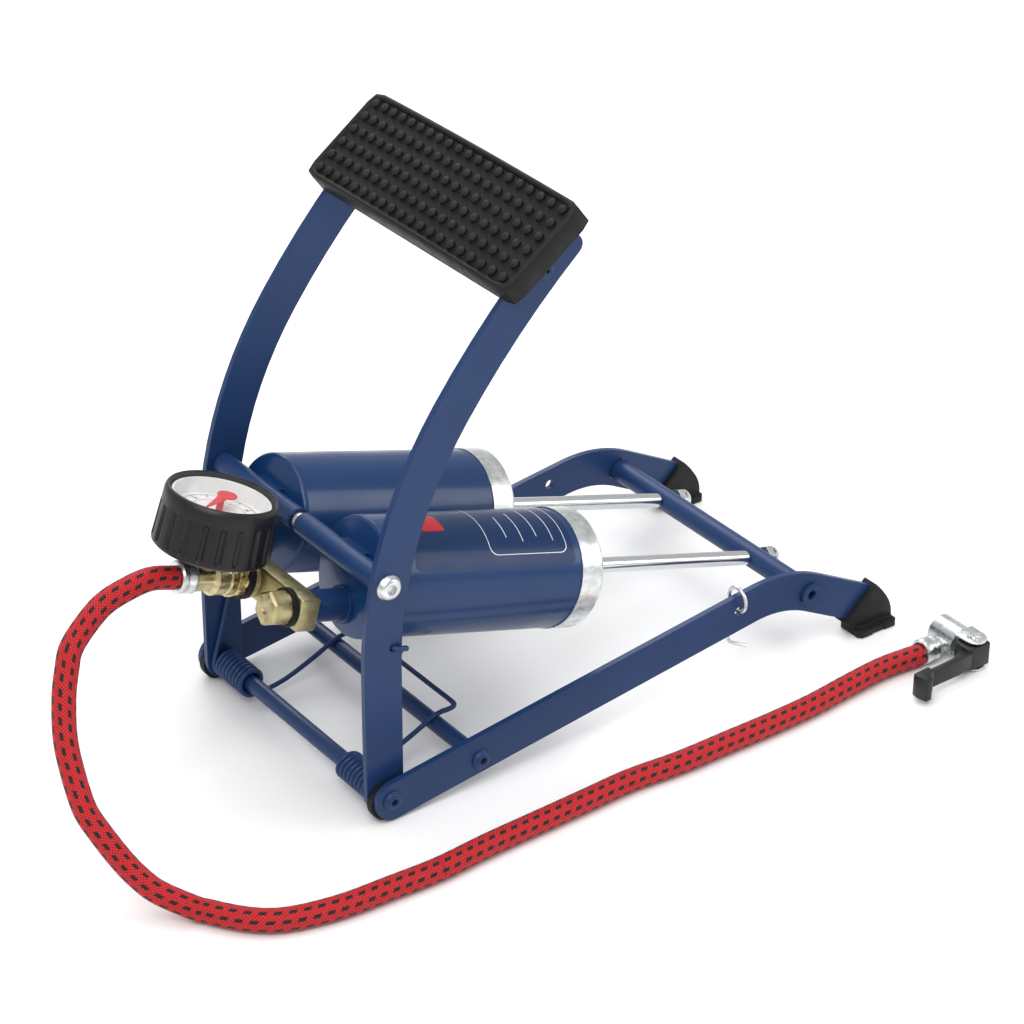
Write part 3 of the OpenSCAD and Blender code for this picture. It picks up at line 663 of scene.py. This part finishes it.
class PUMP_OT_hose(bpy.types.Operator):
    """Braided hose from the outlet tee to the chuck, in two lengths"""

    bl_idname = "pump.hose"
    bl_label = "Braided hose"

    def execute(self, context):
        look = settings()
        cuts, sides = 5, 28
        radius = look.hose_diameter / 2
        whole = smooth_path(metres(HOSE_FRONT + HOSE_FLOOR[1:]), cuts)
        for point in whole:
            point.z = max(point.z, radius)
        cut = (len(HOSE_FRONT) - 1) * cuts
        upper, lower = whole[:cut + 1], whole[cut:]
        work = bmesh.new()
        normal, reach = add_tube(work, upper, radius, sides, Vector((0, 0, 1)), caps=False)
        first = settle(work, "hose_front", "braid")
        work = bmesh.new()
        add_tube(work, lower, radius, sides, normal, reach, caps=False)
        second = settle(work, "hose_floor", "braid")
        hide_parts("hose")
        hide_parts("hose")
        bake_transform(first)
        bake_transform(second)

        return {"FINISHED"}


# ---------------------------------------------------------------- frame, pedal and spring


class PUMP_OT_frame(bpy.types.Operator):
    """Finishes of the rails, arms, rods and tubes that keep their shape"""

    bl_idname = "pump.frame"
    bl_label = "Frame finishes"

    def execute(self, context):
        dress(["side_rail_left", "side_rail_right", "front_axle", "stay_rod", "rear_cross_tube",
               "pedal_arm_left", "pedal_arm_right", "pedal_plate", "arm_rivets", "barrel_sleeves",
               "outlet_spouts"], "coat")
        dress(["barrel_left", "barrel_right"], "enamel")
        dress(["trunnion_shaft", "rear_cap_left", "rear_cap_right", "piston_washers"], "zinc")
        dress(["piston_rod_left", "piston_rod_right"], "rod")
        dress(["axle_discs", "sealing_washers", "piston_cups", "chuck_bush"], "rubber")
        dress(["rod_guides", "pistons"], "abs")
        dress(["gauge_movement"], "brass")
        return {"FINISHED"}


def socket_head(work, matrix, flange, crown, height, socket, depth):
    """Domed head with a rim and a hexagon socket, standing along local Z."""
    first_socket_ring = 9

    def hexed(k, radius, angle):
        return radius if k < first_socket_ring else to_flats(radius, angle)

    profile = [(0, 0), (flange, 0), (flange, height * 0.25), (flange * 0.96, height * 0.36),
               (crown * 1.06, height * 0.42), (crown, height * 0.7), (crown * 0.88, height * 0.9),
               (crown * 0.72, height), (socket * 1.22, height), (socket, height * 0.96),
               (socket, height - depth), (0, height - depth)]
    add_lathe(work, profile, matrix, 60, hexed)


class PUMP_OT_fasteners(bpy.types.Operator):
    """Pivot bolts, rail rivets and dome nuts"""

    bl_idname = "pump.fasteners"
    bl_label = "Fasteners"

    def execute(self, context):
        work = bmesh.new()
        for side in (-1, 1):
            turn = turned(-90 * side, "X")
            spot = moved(-0.1118, side * 0.0712, 0.1207)
            socket_head(work, spot @ turn, 0.00625, 0.0054, 0.0037, 0.0027, 0.0018)
        make(work, "pivot_bolts", "zinc", "pedal", "zinc_plate", "shaft_bolts")
        work = bmesh.new()
        for side in (-1, 1):
            turn = turned(-90 * side, "X")
            for x, z in ((AXLE.x, AXLE.z), (-0.0663, 0.0147)):
                spot = moved(x, side * 0.0784, z)
                socket_head(work, spot @ turn, 0.005, 0.0042, 0.0022, 0.0019, 0.0016)
        make(work, "socket_rivets", "coat", "base", "navy_powder_coat", "rail_rivets")
        work = bmesh.new()
        dome = [(0.0054, 0.0044), (0.0053, 0.006), (0.0046, 0.0072), (0.003, 0.0082), (0, 0.0085)]
        for side in (-1, 1):
            back = barrel_matrix(-0.00615, 0, side * PITCH) @ turned(90, "Y")
            add_prism(work, arc(0, 0, 0.0058, range(0, 360, 60)), 0.0, 0.0044, back)
            add_lathe(work, dome, back, 32)
        make(work, "cap_nuts", "zinc", "rods", "zinc_plate", "dome_nuts")
        return {"FINISHED"}


def foot_outline():
    """Side of a rubber foot: flat sole, bowed back and a mouth that leans back up the rail."""
    back = smooth_path([Vector((x / 1000, z / 1000, 0)) for x, z in
                        ((12.2, 0), (11.9, 4), (11.4, 8.9), (9.3, 14.4), (5.1, 20.6),
                         (0.4, 25.9))], 4)
    return ([(-0.0117, 0.0006), (0.0118, 0.0006)] + [(p.x, p.y) for p in back[4:]]
            + [(-0.0004, 0.0253), (-0.0182, 0.0096), (-0.0184, 0.0088), (-0.0117, 0.0034)])


class PUMP_OT_feet(bpy.types.Operator):
    """Rubber feet at the rail ends, with a stepped sole"""

    bl_idname = "pump.feet"
    bl_label = "Rubber feet"

    def execute(self, context):
        sole = [(-0.0105, -0.0083), (-0.004, -0.0083), (-0.004, -0.0077), (0.004, -0.0077),
                (0.004, -0.0083), (0.0107, -0.0083), (0.0125, -0.0065), (0.0125, 0.0065),
                (0.0107, 0.0083), (0.004, 0.0083), (0.004, 0.0077), (-0.004, 0.0077),
                (-0.004, 0.0083), (-0.0105, 0.0083), (-0.0125, 0.0065), (-0.0125, -0.0065)]
        shoulder = [(x * 0.985 * 0.93, y * 0.97 * 0.72) for x, y in sole]
        turn = turned(90, "X")
        foot_x = 0.1745
        for side, name in ((-1, "left"), (1, "right")):
            work = bmesh.new()
            on_rail = moved(foot_x, side * 0.0769, 0)
            on_floor = moved(foot_x, side * 0.0775, 0)
            add_block(work, foot_outline(), -0.0046, 0.0046, 0.0009, matrix=on_rail @ turn)
            add_block(work, sole, 0.0002, 0.0036, 0.0005, 2, on_floor)
            add_block(work, shoulder, 0.003, 0.0052, 0.0008, 2, on_floor)
            make(work, "rubber_foot_" + name, "rubber", "base", "black_rubber", "rear_foot_" + name)
        return {"FINISHED"}


class PUMP_OT_tread(bpy.types.Operator):
    """Rubber tread: crowned slab with a raised rim and rounded studs"""

    bl_idname = "pump.tread"
    bl_label = "Rubber tread"

    def execute(self, context):
        look = settings()
        width, depth, skirt, crown = 0.158, 0.0515, 0.0115, 0.0025
        slope = math.radians(36.6)
        corner = Vector((-0.0137, 0, 0.2829))
        down = Vector((-math.cos(slope), 0, -math.sin(slope)))
        out = Vector((-math.sin(slope), 0, math.cos(slope)))

        def at(u, y, lift):
            bow = crown * (1 - (2 * y / width) ** 2)
            return corner + down * u + out * (lift + bow) + Vector((0, y, 0))

        n, m = 24, 8
        corner_reach, corner_cut = 0.0045, 0.29
        end_margin, side_margin = 0.006, 0.007
        section = [(0.0026, -skirt), (0.0006, -skirt), (0.0, -skirt + 0.0006), (0.0, -0.0018),
                   (0.0005, -0.0006), (0.0013, -0.0001), (0.0023, -0.0003), (0.0029, -0.0009),
                   (0.0033, -0.0017)]
        work = bmesh.new()
        rings = []
        for d, lift in section:
            ring = []
            corners = ((d, -width / 2 + d), (d, width / 2 - d), (depth - d, width / 2 - d),
                       (depth - d, -width / 2 + d))
            for (u0, y0), (u1, y1), count in zip(corners, corners[1:] + corners[:1], (n, m, n, m)):
                for i in range(count):
                    t = i / count
                    u, y = u0 + (u1 - u0) * t, y0 + (y1 - y0) * t
                    for cu, cy in corners:
                        gap = max(abs(u - cu), abs(y - cy))
                        if gap < corner_reach:
                            pull = corner_cut * corner_reach * (1 - gap / corner_reach)
                            u += pull if cu < depth / 2 else -pull
                            y += pull if cy < 0 else -pull
                    low = lift if lift > -skirt * 0.9 else lift - crown * (1 - (2 * y / width) ** 2)
                    ring.append(work.verts.new(at(u, y, low)))
            rings.append(ring)
        for low, high in zip(rings, rings[1:]):
            for i in range(len(low)):
                k = (i + 1) % len(low)
                work.faces.new((low[i], low[k], high[k], high[i]))
        top = rings[-1]
        near_row = top[:n + 1]
        far_row = [top[2 * n + m - i] for i in range(n + 1)]
        rows = [near_row]
        for r in range(1, m):
            left, right = top[(2 * n + 2 * m - r) % len(top)], top[n + r]
            rows.append([left, *(work.verts.new(near_row[i].co.lerp(far_row[i].co, r / m))
                                 for i in range(1, n)), right])
        rows.append(far_row)
        for a, b in zip(rows, rows[1:]):
            for i in range(n):
                work.faces.new((a[i], a[i + 1], b[i + 1], b[i]))
        radius = look.stud_diameter / 2
        pitch_u = (depth - 2 * end_margin) / (look.stud_rows - 1)
        pitch_y = (width - 2 * side_margin) / (look.stud_columns - 1)
        axes = Matrix((down, Vector((0, 1, 0)), out)).transposed().to_4x4()
        stud = [(radius * 1.06, 0), (radius, 0.0006), (radius * 0.98, 0.0019),
                (radius * 0.9, 0.0024), (radius * 0.72, 0.0026), (0, 0.0026)]
        for i in range(look.stud_rows):
            for k in range(look.stud_columns):
                y = -width / 2 + side_margin + k * pitch_y
                centre = at(end_margin + i * pitch_u, y, -0.0022)
                add_lathe(work, stud, Matrix.Translation(centre) @ axes, 16)
        make(work, "rubber_tread", "rubber", "pedal", "black_rubber", "pedal_pad", smooth=50)
        return {"FINISHED"}


class PUMP_OT_spring(bpy.types.Operator):
    """Double torsion spring, made in two halves"""

    bl_idname = "pump.spring"
    bl_label = "Return spring"

    def execute(self, context):
        look = settings()
        r, y0, y1 = 0.00625, 0.042, 0.06655
        to_axle = Vector((AXLE.x, 0, 0))
        sweep = 2 * math.pi * look.turns + math.pi / 2
        steps = 26 * look.turns + 6
        lead = smooth_path([(62, 0, 20.2), (62, 20, 20.2), (62, 37, 20.2), (61, 40.6, 20.2),
                            (58, 42, 20.2), (50, 42, 20), (40, 42, 15.6), (31.8, 42, 12),
                            (20, 42, 7.6), (10, 42, 5.6), (4, 42, 5.3)], 3)
        lead = [p / 1000 + to_axle for p in lead]
        coil = []
        for i in range(steps + 1):
            a = -math.pi / 2 - sweep * i / steps
            y = y0 + (y1 - y0) * i / steps
            coil.append(AXLE + Vector((r * math.cos(a), y, r * math.sin(a))))
        tail = smooth_path([(-6.2, 66.55, 14), (-4.6, 66.55, 20), (0, 66.55, 36), (6, 66.55, 58),
                            (11, 66.55, 76), (13.4, 67.5, 82.5), (13.8, 69.7, 84.5),
                            (12.8, 72.6, 86.2), (10, 73.1, 87.4), (8, 72.9, 87.9),
                            (6.9, 71.8, 88), (6.5, 70.2, 88)], 3)
        tail = [p / 1000 + to_axle for p in tail]
        for side, name in ((1, "right"), (-1, "left")):
            path = [Vector((p.x, p.y * side, p.z)) for p in lead + coil + tail]
            work = bmesh.new()
            add_tube(work, path, look.wire / 2, 12, Vector((1, 0, 0)))
            half = settle(work, "spring_half_" + name, "coat")
            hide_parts("return_spring")
            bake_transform(half)
        return {"FINISHED"}


class PUMP_OT_hook(bpy.types.Operator):
    """Bent wire hook that hangs from the near rail"""

    bl_idname = "pump.hook"
    bl_label = "Storage hook"

    def execute(self, context):
        start, sweep, steps = -78, 330, 40
        angles = [start - sweep * i / steps for i in range(steps + 1)]
        ring = [Vector((0.0875, y, z)) for y, z in arc(-0.0769, 0.046, 0.0062, angles)]
        leg = smooth_path(metres([(87.5, -72.4, 41.0), (87.5, -70.7, 38.5), (87.5, -70.6, 30),
                                  (87.5, -70.6, 22), (88.5, -71.3, 18.8), (91.5, -74, 17.6),
                                  (94.5, -77, 17)]), 4)
        work = bmesh.new()
        add_tube(work, ring + leg, 0.001, 12, Vector((1, 0, 0)))
        make(work, "wire_hook", "zinc", "storage_hook", "zinc_plate", "storage_hook")
        return {"FINISHED"}


# ---------------------------------------------------------------- barrels, outlet and gauge


def barrel_patch(name, finish_name, along, angles, lift, corner=0.002, width=None):
    """Thin film bent round the near barrel, as a filled panel or as an outline of one width."""
    radius = BARREL_R + lift
    u0, u1 = along
    v0, v1 = math.radians(angles[0]) * radius, math.radians(angles[1]) * radius

    def lay(work, u, v):
        angle = v / radius
        across = -PITCH + radius * math.sin(angle)
        return work.verts.new(on_barrel(u, radius * math.cos(angle), across))

    work = bmesh.new()
    if width:
        bends = []
        for cu, cv, start in ((u1 - corner, v1 - corner, 0), (u0 + corner, v1 - corner, 90),
                              (u0 + corner, v0 + corner, 180), (u1 - corner, v0 + corner, 270)):
            bends += arc(cu, cv, corner, [start + 22.5 * i for i in range(5)])
        outer = []
        for (p, q), (s, t) in zip(bends, bends[1:] + bends[:1]):
            n = max(1, int(math.hypot(s - p, t - q) / 0.002))
            outer += [(p + (s - p) * i / n, q + (t - q) * i / n) for i in range(n)]
        cu, cv = (u0 + u1) / 2, (v0 + v1) / 2
        hu, hv = (u1 - u0) / 2, (v1 - v0) / 2
        inner = [(cu + (u - cu) * (hu - width) / hu, cv + (v - cv) * (hv - width) / hv)
                 for u, v in outer]
        a = [lay(work, u, v) for u, v in outer]
        b = [lay(work, u, v) for u, v in inner]
        for i in range(len(a)):
            k = (i + 1) % len(a)
            work.faces.new((a[i], a[k], b[k], b[i]))
    else:
        columns = 36
        rows = []
        for i in range(columns + 1):
            v = v0 + (v1 - v0) * i / columns
            edge = min(v - v0, v1 - v)
            inside = max(corner - edge, 0)
            cut = corner - math.sqrt(max(corner ** 2 - inside ** 2, 0))
            rows.append((lay(work, u0 + cut, v), lay(work, u1 - cut, v)))
        for (p, q), (s, t) in zip(rows, rows[1:]):
            work.faces.new((p, q, t, s))
    return make(work, name, finish_name, "barrels", "navy_powder_coat", smooth=60)


class PUMP_OT_labels(bpy.types.Operator):
    """Plain label film on the near barrel, with an outline and a red block"""

    bl_idname = "pump.labels"
    bl_label = "Barrel label"

    def execute(self, context):
        barrel_patch("label_panel", "label", (0.142, 0.236), (-62, 46), 0.00012, corner=0.003)
        barrel_patch("label_outline", "label_line", (0.146, 0.192), (-50, 36), 0.00022,
                     corner=0.004, width=0.00035)
        barrel_patch("label_red_block", "label_red", (0.2135, 0.2265), (-22, 2), 0.00022,
                     corner=0.0012)
        for k in range(4):
            barrel_patch("label_rule_%d" % k, "label_line", (0.153 + 0.009 * k, 0.1534 + 0.009 * k),
                         (-38 + 5 * (k % 2), 16 - 7 * k), 0.00022, corner=0.0002)
        return {"FINISHED"}


class PUMP_OT_outlet(bpy.types.Operator):
    """Brass manifold with its bolts, outlet tee and front hose ferrule"""

    bl_idname = "pump.outlet"
    bl_label = "Outlet manifold"

    def execute(self, context):
        work = bmesh.new()
        deep, half = 0.011, 0.008
        outline = [(-deep, -half), (0, -half), (0, half), (-deep, half)]
        body = barrel_matrix(FACE + 0.023, SPOUT - 0.0005, 0) @ turned(90, "X")
        add_prism(work, outline, -0.0445, 0.0445, body)
        soften(work, 0.0011)
        boss = [(0.0112, 0), (0.0112, 0.0014), (0.0106, 0.002), (0, 0.002)]
        add_lathe(work, boss, forward_matrix(TEE, SPOUT, 0), 48)
        make(work, "brass_manifold", "brass", "barrels", "brass", "manifold_block")
        work = bmesh.new()
        head = [(0.0078, 0), (0.0086, 0.0008), (0.0086, 0.0085), (0.0078, 0.0098),
                (0.0066, 0.01), (0.0026, 0.01), (0.002, 0.0094), (0, 0.0092)]

        def bolt(k, radius, angle):
            return min(to_flats(radius, angle), 0.0084) if k in (1, 2, 3) else radius

        for side in (-1, 1):
            add_lathe(work, head, forward_matrix(TEE + 0.003, SPOUT, side * PITCH), 72, bolt)
        make(work, "hex_banjo_bolts", "brass", "barrels", "brass", "banjo_bolts", smooth=25)
        work = bmesh.new()
        tee = forward_matrix(TEE + 0.005, SPOUT, 0)
        branch = [(0.0, 0.005), (0.0086, 0.005), (0.0094, 0.0058), (0.0094, 0.008),
                  (0.0086, 0.0086), (0.0086, 0.0096), (0.0092, 0.0102), (0.0092, 0.0152),
                  (0.0078, 0.016), (0.0072, 0.0165), (0.007, 0.018), (0.007, 0.026), (0, 0.026)]
        add_lathe(work, branch, tee, 48)
        stem = [(0.0, 0.006), (0.0062, 0.006), (0.0065, 0.0085), (0.0065, 0.0115), (0.0058, 0.0131)]
        add_lathe(work, stem, barrel_matrix(GAUGE, SPOUT, 0), 40)
        make(work, "outlet_elbow", "yellow_zinc", "barrels", "brass", "outlet_tee")
        work = bmesh.new()
        ring = [(0.0045, 0), (0.0102, 0), (0.0113, 0.0008), (0.0113, 0.0042), (0.0102, 0.005),
                (0.0045, 0.005)]

        def nut(k, radius, angle):
            return min(to_flats(radius, angle), 0.0112) if k in (2, 3) else radius

        add_lathe(work, ring, tee, 72, nut)
        make(work, "elbow_lock_nut", "yellow_zinc", "barrels", "brass", "tee_nut", smooth=25)
        work = bmesh.new()
        sleeve = [(0.0064, 0), (0.0076, 0.0003), (0.008, 0.0012), (0.0078, 0.003), (0.0071, 0.0042),
                  (0.0071, 0.0052), (0.0077, 0.006), (0.0077, 0.0078), (0.0068, 0.0086),
                  (0.0052, 0.0086)]
        add_lathe(work, sleeve, forward_matrix(TEE + 0.030, SPOUT, 0), 48)
        make(work, "crimped_ferrule", "zinc", "barrels", "zinc_plate", "hose_ferrule_front")
        return {"FINISHED"}


class PUMP_OT_gauge(bpy.types.Operator):
    """Pressure gauge: gripped case, bezel, printed dial, window and needle"""

    bl_idname = "pump.gauge"
    bl_label = "Pressure gauge"

    def execute(self, context):
        look = settings()
        here = barrel_matrix(GAUGE, 0, 0)
        grips = look.grips
        profile = [(0, 0), (0.018, 0), (0.0262, 0.0002), (0.0273, 0.0012), (0.0274, 0.0026),
                   (0.0273, 0.0034), (0.0265, 0.0190), (0.0263, 0.0200), (0.0263, 0.0214),
                   (0.0262, 0.0252), (0.0257, 0.0268), (0.0250, 0.0277), (0.0243, 0.0279),
                   (0.0240, 0.0272), (0.0240, 0.0256)]

        def gripped(k, radius, angle):
            if k not in (5, 6):
                return radius
            groove, slope, deep = 0.19, 0.06, 0.0013
            phase = (angle / (2 * math.pi) * grips) % 1.0
            dip = min(1.0, max(0.0, (groove - abs(phase - 0.5)) / slope))
            return radius - deep * dip

        work = bmesh.new()
        add_lathe(work, profile, here, 360, gripped)
        make(work, "gripped_case", "abs", "barrels", "black_plastic", "gauge_case", smooth=40)
        dress(["gauge_dial"], "dial")
        dress(["gauge_lens"], "acrylic")
        top = 0.0187
        zero, span = 212, 270

        def tick(work, angle, inner, outer, width):
            a = math.radians(angle)
            d, n = Vector((math.cos(a), math.sin(a), 0)), Vector((-math.sin(a), math.cos(a), 0))
            quad = [d * inner - n * width, d * outer - n * width,
                    d * outer + n * width, d * inner + n * width]
            work.faces.new([work.verts.new(here @ (q + Vector((0, 0, top)))) for q in quad])

        black, red = bmesh.new(), bmesh.new()
        for i in range(51):
            angle = zero - span * i / 50
            long = i % 5 == 0
            tick(black, angle, 0.0158 if long else 0.0168, 0.018, 0.00022 if long else 0.0001)
        for i in range(31):
            tick(red, zero - span * i / 30, 0.0118 if i % 5 else 0.0112, 0.0128, 0.00012)
        for shape, radius, width in ((black, 0.0181, 0.00016), (red, 0.0129, 0.00012)):
            for i in range(90):
                a, b = math.radians(zero - 3 * i), math.radians(zero - 3 * (i + 1))
                quad = [(radius, a), (radius + width, a), (radius + width, b), (radius, b)]
                spots = [here @ Vector((r * math.cos(t), r * math.sin(t), top)) for r, t in quad]
                shape.faces.new([shape.verts.new(spot) for spot in spots])
        make(black, "dial_scale", "black_ink", "barrels", "white_dial")
        make(red, "dial_inner_scale", "red_ink", "barrels", "red_needle")
        for i in range(6):
            angle = math.radians(zero - span * i / 5)
            words = bpy.data.curves.new("dial_number", "FONT")
            words.body = str(2 * i)
            words.size = 0.0032
            words.align_x = "CENTER"
            words.align_y = "CENTER"
            maker = bpy.data.objects.new("dial_number_maker", words)
            context.scene.collection.objects.link(maker)
            context.view_layer.update()
            shown = maker.evaluated_get(context.evaluated_depsgraph_get())
            data = bpy.data.meshes.new_from_object(shown)
            bpy.data.objects.remove(maker)
            number = bpy.data.objects.new("dial_number_%d" % i, data)
            context.scene.collection.objects.link(number)
            data.materials.clear()
            data.materials.append(finish("black_ink"))
            upright = turned(-13, "Z")
            out = 0.0147
            spot = moved(out * math.cos(angle), out * math.sin(angle), top)
            data.transform(here @ spot @ upright)
            join_frame(number, "barrels", "white_dial")
        work = bmesh.new()
        turn = here @ turned(zero, "Z")
        outline = ([(0.0158, -0.00025), (0.0158, 0.00025), (0.002, 0.0019), (-0.0019, 0.0021)]
                   + arc(-0.0062, 0, 0.0046, range(30, 331, 15))
                   + [(-0.0019, -0.0021), (0.002, -0.0019)])
        add_prism(work, outline, 0.0242, 0.0249, turn)
        add_lathe(work, [(0.0016, 0.0189), (0.0016, 0.0246), (0.0024, 0.0247), (0.0024, 0.0251),
                         (0, 0.0252)], turn, 32)
        make(work, "red_pointer", "red", "gauge_needle", "red_needle", "gauge_needle")
        return {"FINISHED"}


# ---------------------------------------------------------------- chuck


class PUMP_OT_chuck(bpy.types.Operator):
    """Lever chuck at the hose end: ferrule, head, bent hood, star pin and black lever"""

    bl_idname = "pump.chuck"
    bl_label = "Lever chuck"

    def execute(self, context):
        end = Vector((0.1712, -0.1195, 0.0067))
        forward = Matrix.Translation(end) @ turned(90, "Y")
        work = bmesh.new()
        sleeve = [(0.0052, 0), (0.0063, 0.0002), (0.0066, 0.001), (0.0065, 0.0048),
                  (0.0062, 0.0056), (0.0064, 0.0064), (0.0064, 0.0082), (0.0058, 0.009),
                  (0, 0.009)]
        add_lathe(work, sleeve, forward, 48)
        ferrule = make(work, "chuck_ferrule", "zinc", "base", "zinc_plate", "hose_ferrule_rear")
        work = bmesh.new()
        neck = [(0.0046, 0.009), (0.0046, 0.012), (0.0042, 0.0155)]
        add_lathe(work, neck, forward, 32)
        head_x, head_z = 0.192, 0.0086
        across = moved(head_x, -0.126, head_z) @ turned(-90, "X")
        head = [(0, 0), (0.0062, 0), (0.007, 0.0008), (0.007, 0.0146), (0.0064, 0.016),
                (0.0055, 0.016), (0.0055, 0.014)]
        add_lathe(work, head, across, 48)
        body = make(work, "chuck_head", "zinc", "base", "zinc_plate", "chuck_body")
        work = bmesh.new()
        outer, thick, length = 0.0083, 0.0009, 0.0165
        start, sweep = -35, 250
        n, m = 24, 14
        angles = [start + sweep * k / n for k in range(n + 1)]
        skins = list(zip(arc(head_x, head_z, outer, angles),
                         arc(head_x, head_z, outer - thick, angles)))
        rows = []
        for i in range(m + 1):
            y = -0.1275 + length * i / m
            rows.append([(work.verts.new((p[0], y, p[1])), work.verts.new((q[0], y, q[1])))
                         for p, q in skins])
        for a, b in zip(rows, rows[1:]):
            for k in range(n):
                work.faces.new((a[k][0], a[k + 1][0], b[k + 1][0], b[k][0]))
                work.faces.new((a[k][1], b[k][1], b[k + 1][1], a[k + 1][1]))
            work.faces.new((a[0][0], b[0][0], b[0][1], a[0][1]))
            work.faces.new((a[n][0], a[n][1], b[n][1], b[n][0]))
        for row in (rows[0], rows[-1]):
            for k in range(n):
                work.faces.new((row[k][0], row[k][1], row[k + 1][1], row[k + 1][0]))
        tongue = ([(0.1855, -0.1275), (0.1855, -0.136)]
                  + arc(0.1915, -0.1362, 0.006, range(180, 361, 20)) + [(0.1975, -0.1275)])
        for low, high in ((0.0158, 0.0169), (0.0005, 0.0015)):
            add_block(work, tongue, low, high, 0.0003, 2)
        hood = make(work, "bent_hood", "zinc", "base", "zinc_plate", "chuck_plates")
        work = bmesh.new()
        spot = moved(0.191, -0.136, 0.0)

        def star(k, radius, angle):
            return radius * (1 + 0.22 * math.cos(5 * angle)) if k in (3, 4, 5) else radius

        pin = [(0, 0.0004), (0.002, 0.0004), (0.002, 0.0169), (0.0029, 0.0169), (0.0029, 0.0178),
               (0.0024, 0.0183), (0, 0.0183)]
        add_lathe(work, pin, spot, 60, star)
        rivet = make(work, "star_pin", "zinc", "base", "zinc_plate", "chuck_pin")
        work = bmesh.new()
        block = [(0.1972, -0.1302), (0.1838, -0.1302), (0.1826, -0.134), (0.1826, -0.1402),
                 (0.185, -0.1424), (0.1962, -0.1424), (0.1972, -0.1412)]
        arm = [(0.1835, -0.1350), (0.1740, -0.1396), (0.1560, -0.1404), (0.1560, -0.1444),
               (0.1745, -0.1440), (0.1850, -0.1424)]
        pad = [(0.1570, -0.1402), (0.1468, -0.1408), (0.1462, -0.1446), (0.1476, -0.1500),
               (0.1512, -0.1502), (0.1530, -0.1462), (0.1572, -0.1446)]
        add_block(work, block, 0.0026, 0.0148, 0.0012)
        add_block(work, arm, 0.0042, 0.0132, 0.0009)
        add_block(work, pad, 0.0024, 0.0148, 0.0008)
        lever = make(work, "thumb_lever", "abs", "chuck_lever", "black_plastic", "chuck_lever")
        return {"FINISHED"}


# ---------------------------------------------------------------- add-on


OPERATORS = (PUMP_OT_stage, PUMP_OT_chuck, PUMP_OT_hose, PUMP_OT_frame, PUMP_OT_fasteners,
             PUMP_OT_feet, PUMP_OT_tread, PUMP_OT_spring, PUMP_OT_hook, PUMP_OT_labels,
             PUMP_OT_outlet, PUMP_OT_gauge)


class PUMP_PT_sidebar(bpy.types.Panel):
    """Foot pump pieces and their settings"""

    bl_idname = "PUMP_PT_sidebar"
    bl_label = "Foot Pump"
    bl_space_type = "VIEW_3D"
    bl_region_type = "UI"
    bl_category = "Foot Pump"

    def draw(self, context):
        look = context.scene.foot_pump
        for name in ("coat", "enamel", "braid", "fleck", "hose_diameter", "fleck_pitch", "yarn",
                     "stud_rows", "stud_columns", "stud_diameter", "grips", "wire", "turns"):
            self.layout.prop(look, name)
        for operator in OPERATORS:
            self.layout.operator(operator.bl_idname)


CLASSES = (PumpSettings, *OPERATORS, PUMP_PT_sidebar)


def register():
    for item in CLASSES:
        bpy.utils.register_class(item)
    bpy.types.Scene.foot_pump = PointerProperty(type=PumpSettings)


def unregister():
    del bpy.types.Scene.foot_pump
    for item in reversed(CLASSES):
        bpy.utils.unregister_class(item)


def main():
    register()
    for operator in OPERATORS:
        group, name = operator.bl_idname.split(".")
        result = getattr(getattr(bpy.ops, group), name)()
        if "FINISHED" not in result:
            raise RuntimeError(operator.bl_label + " did not finish")
    bpy.context.view_layer.update()


if __name__ == "__main__":
    main()
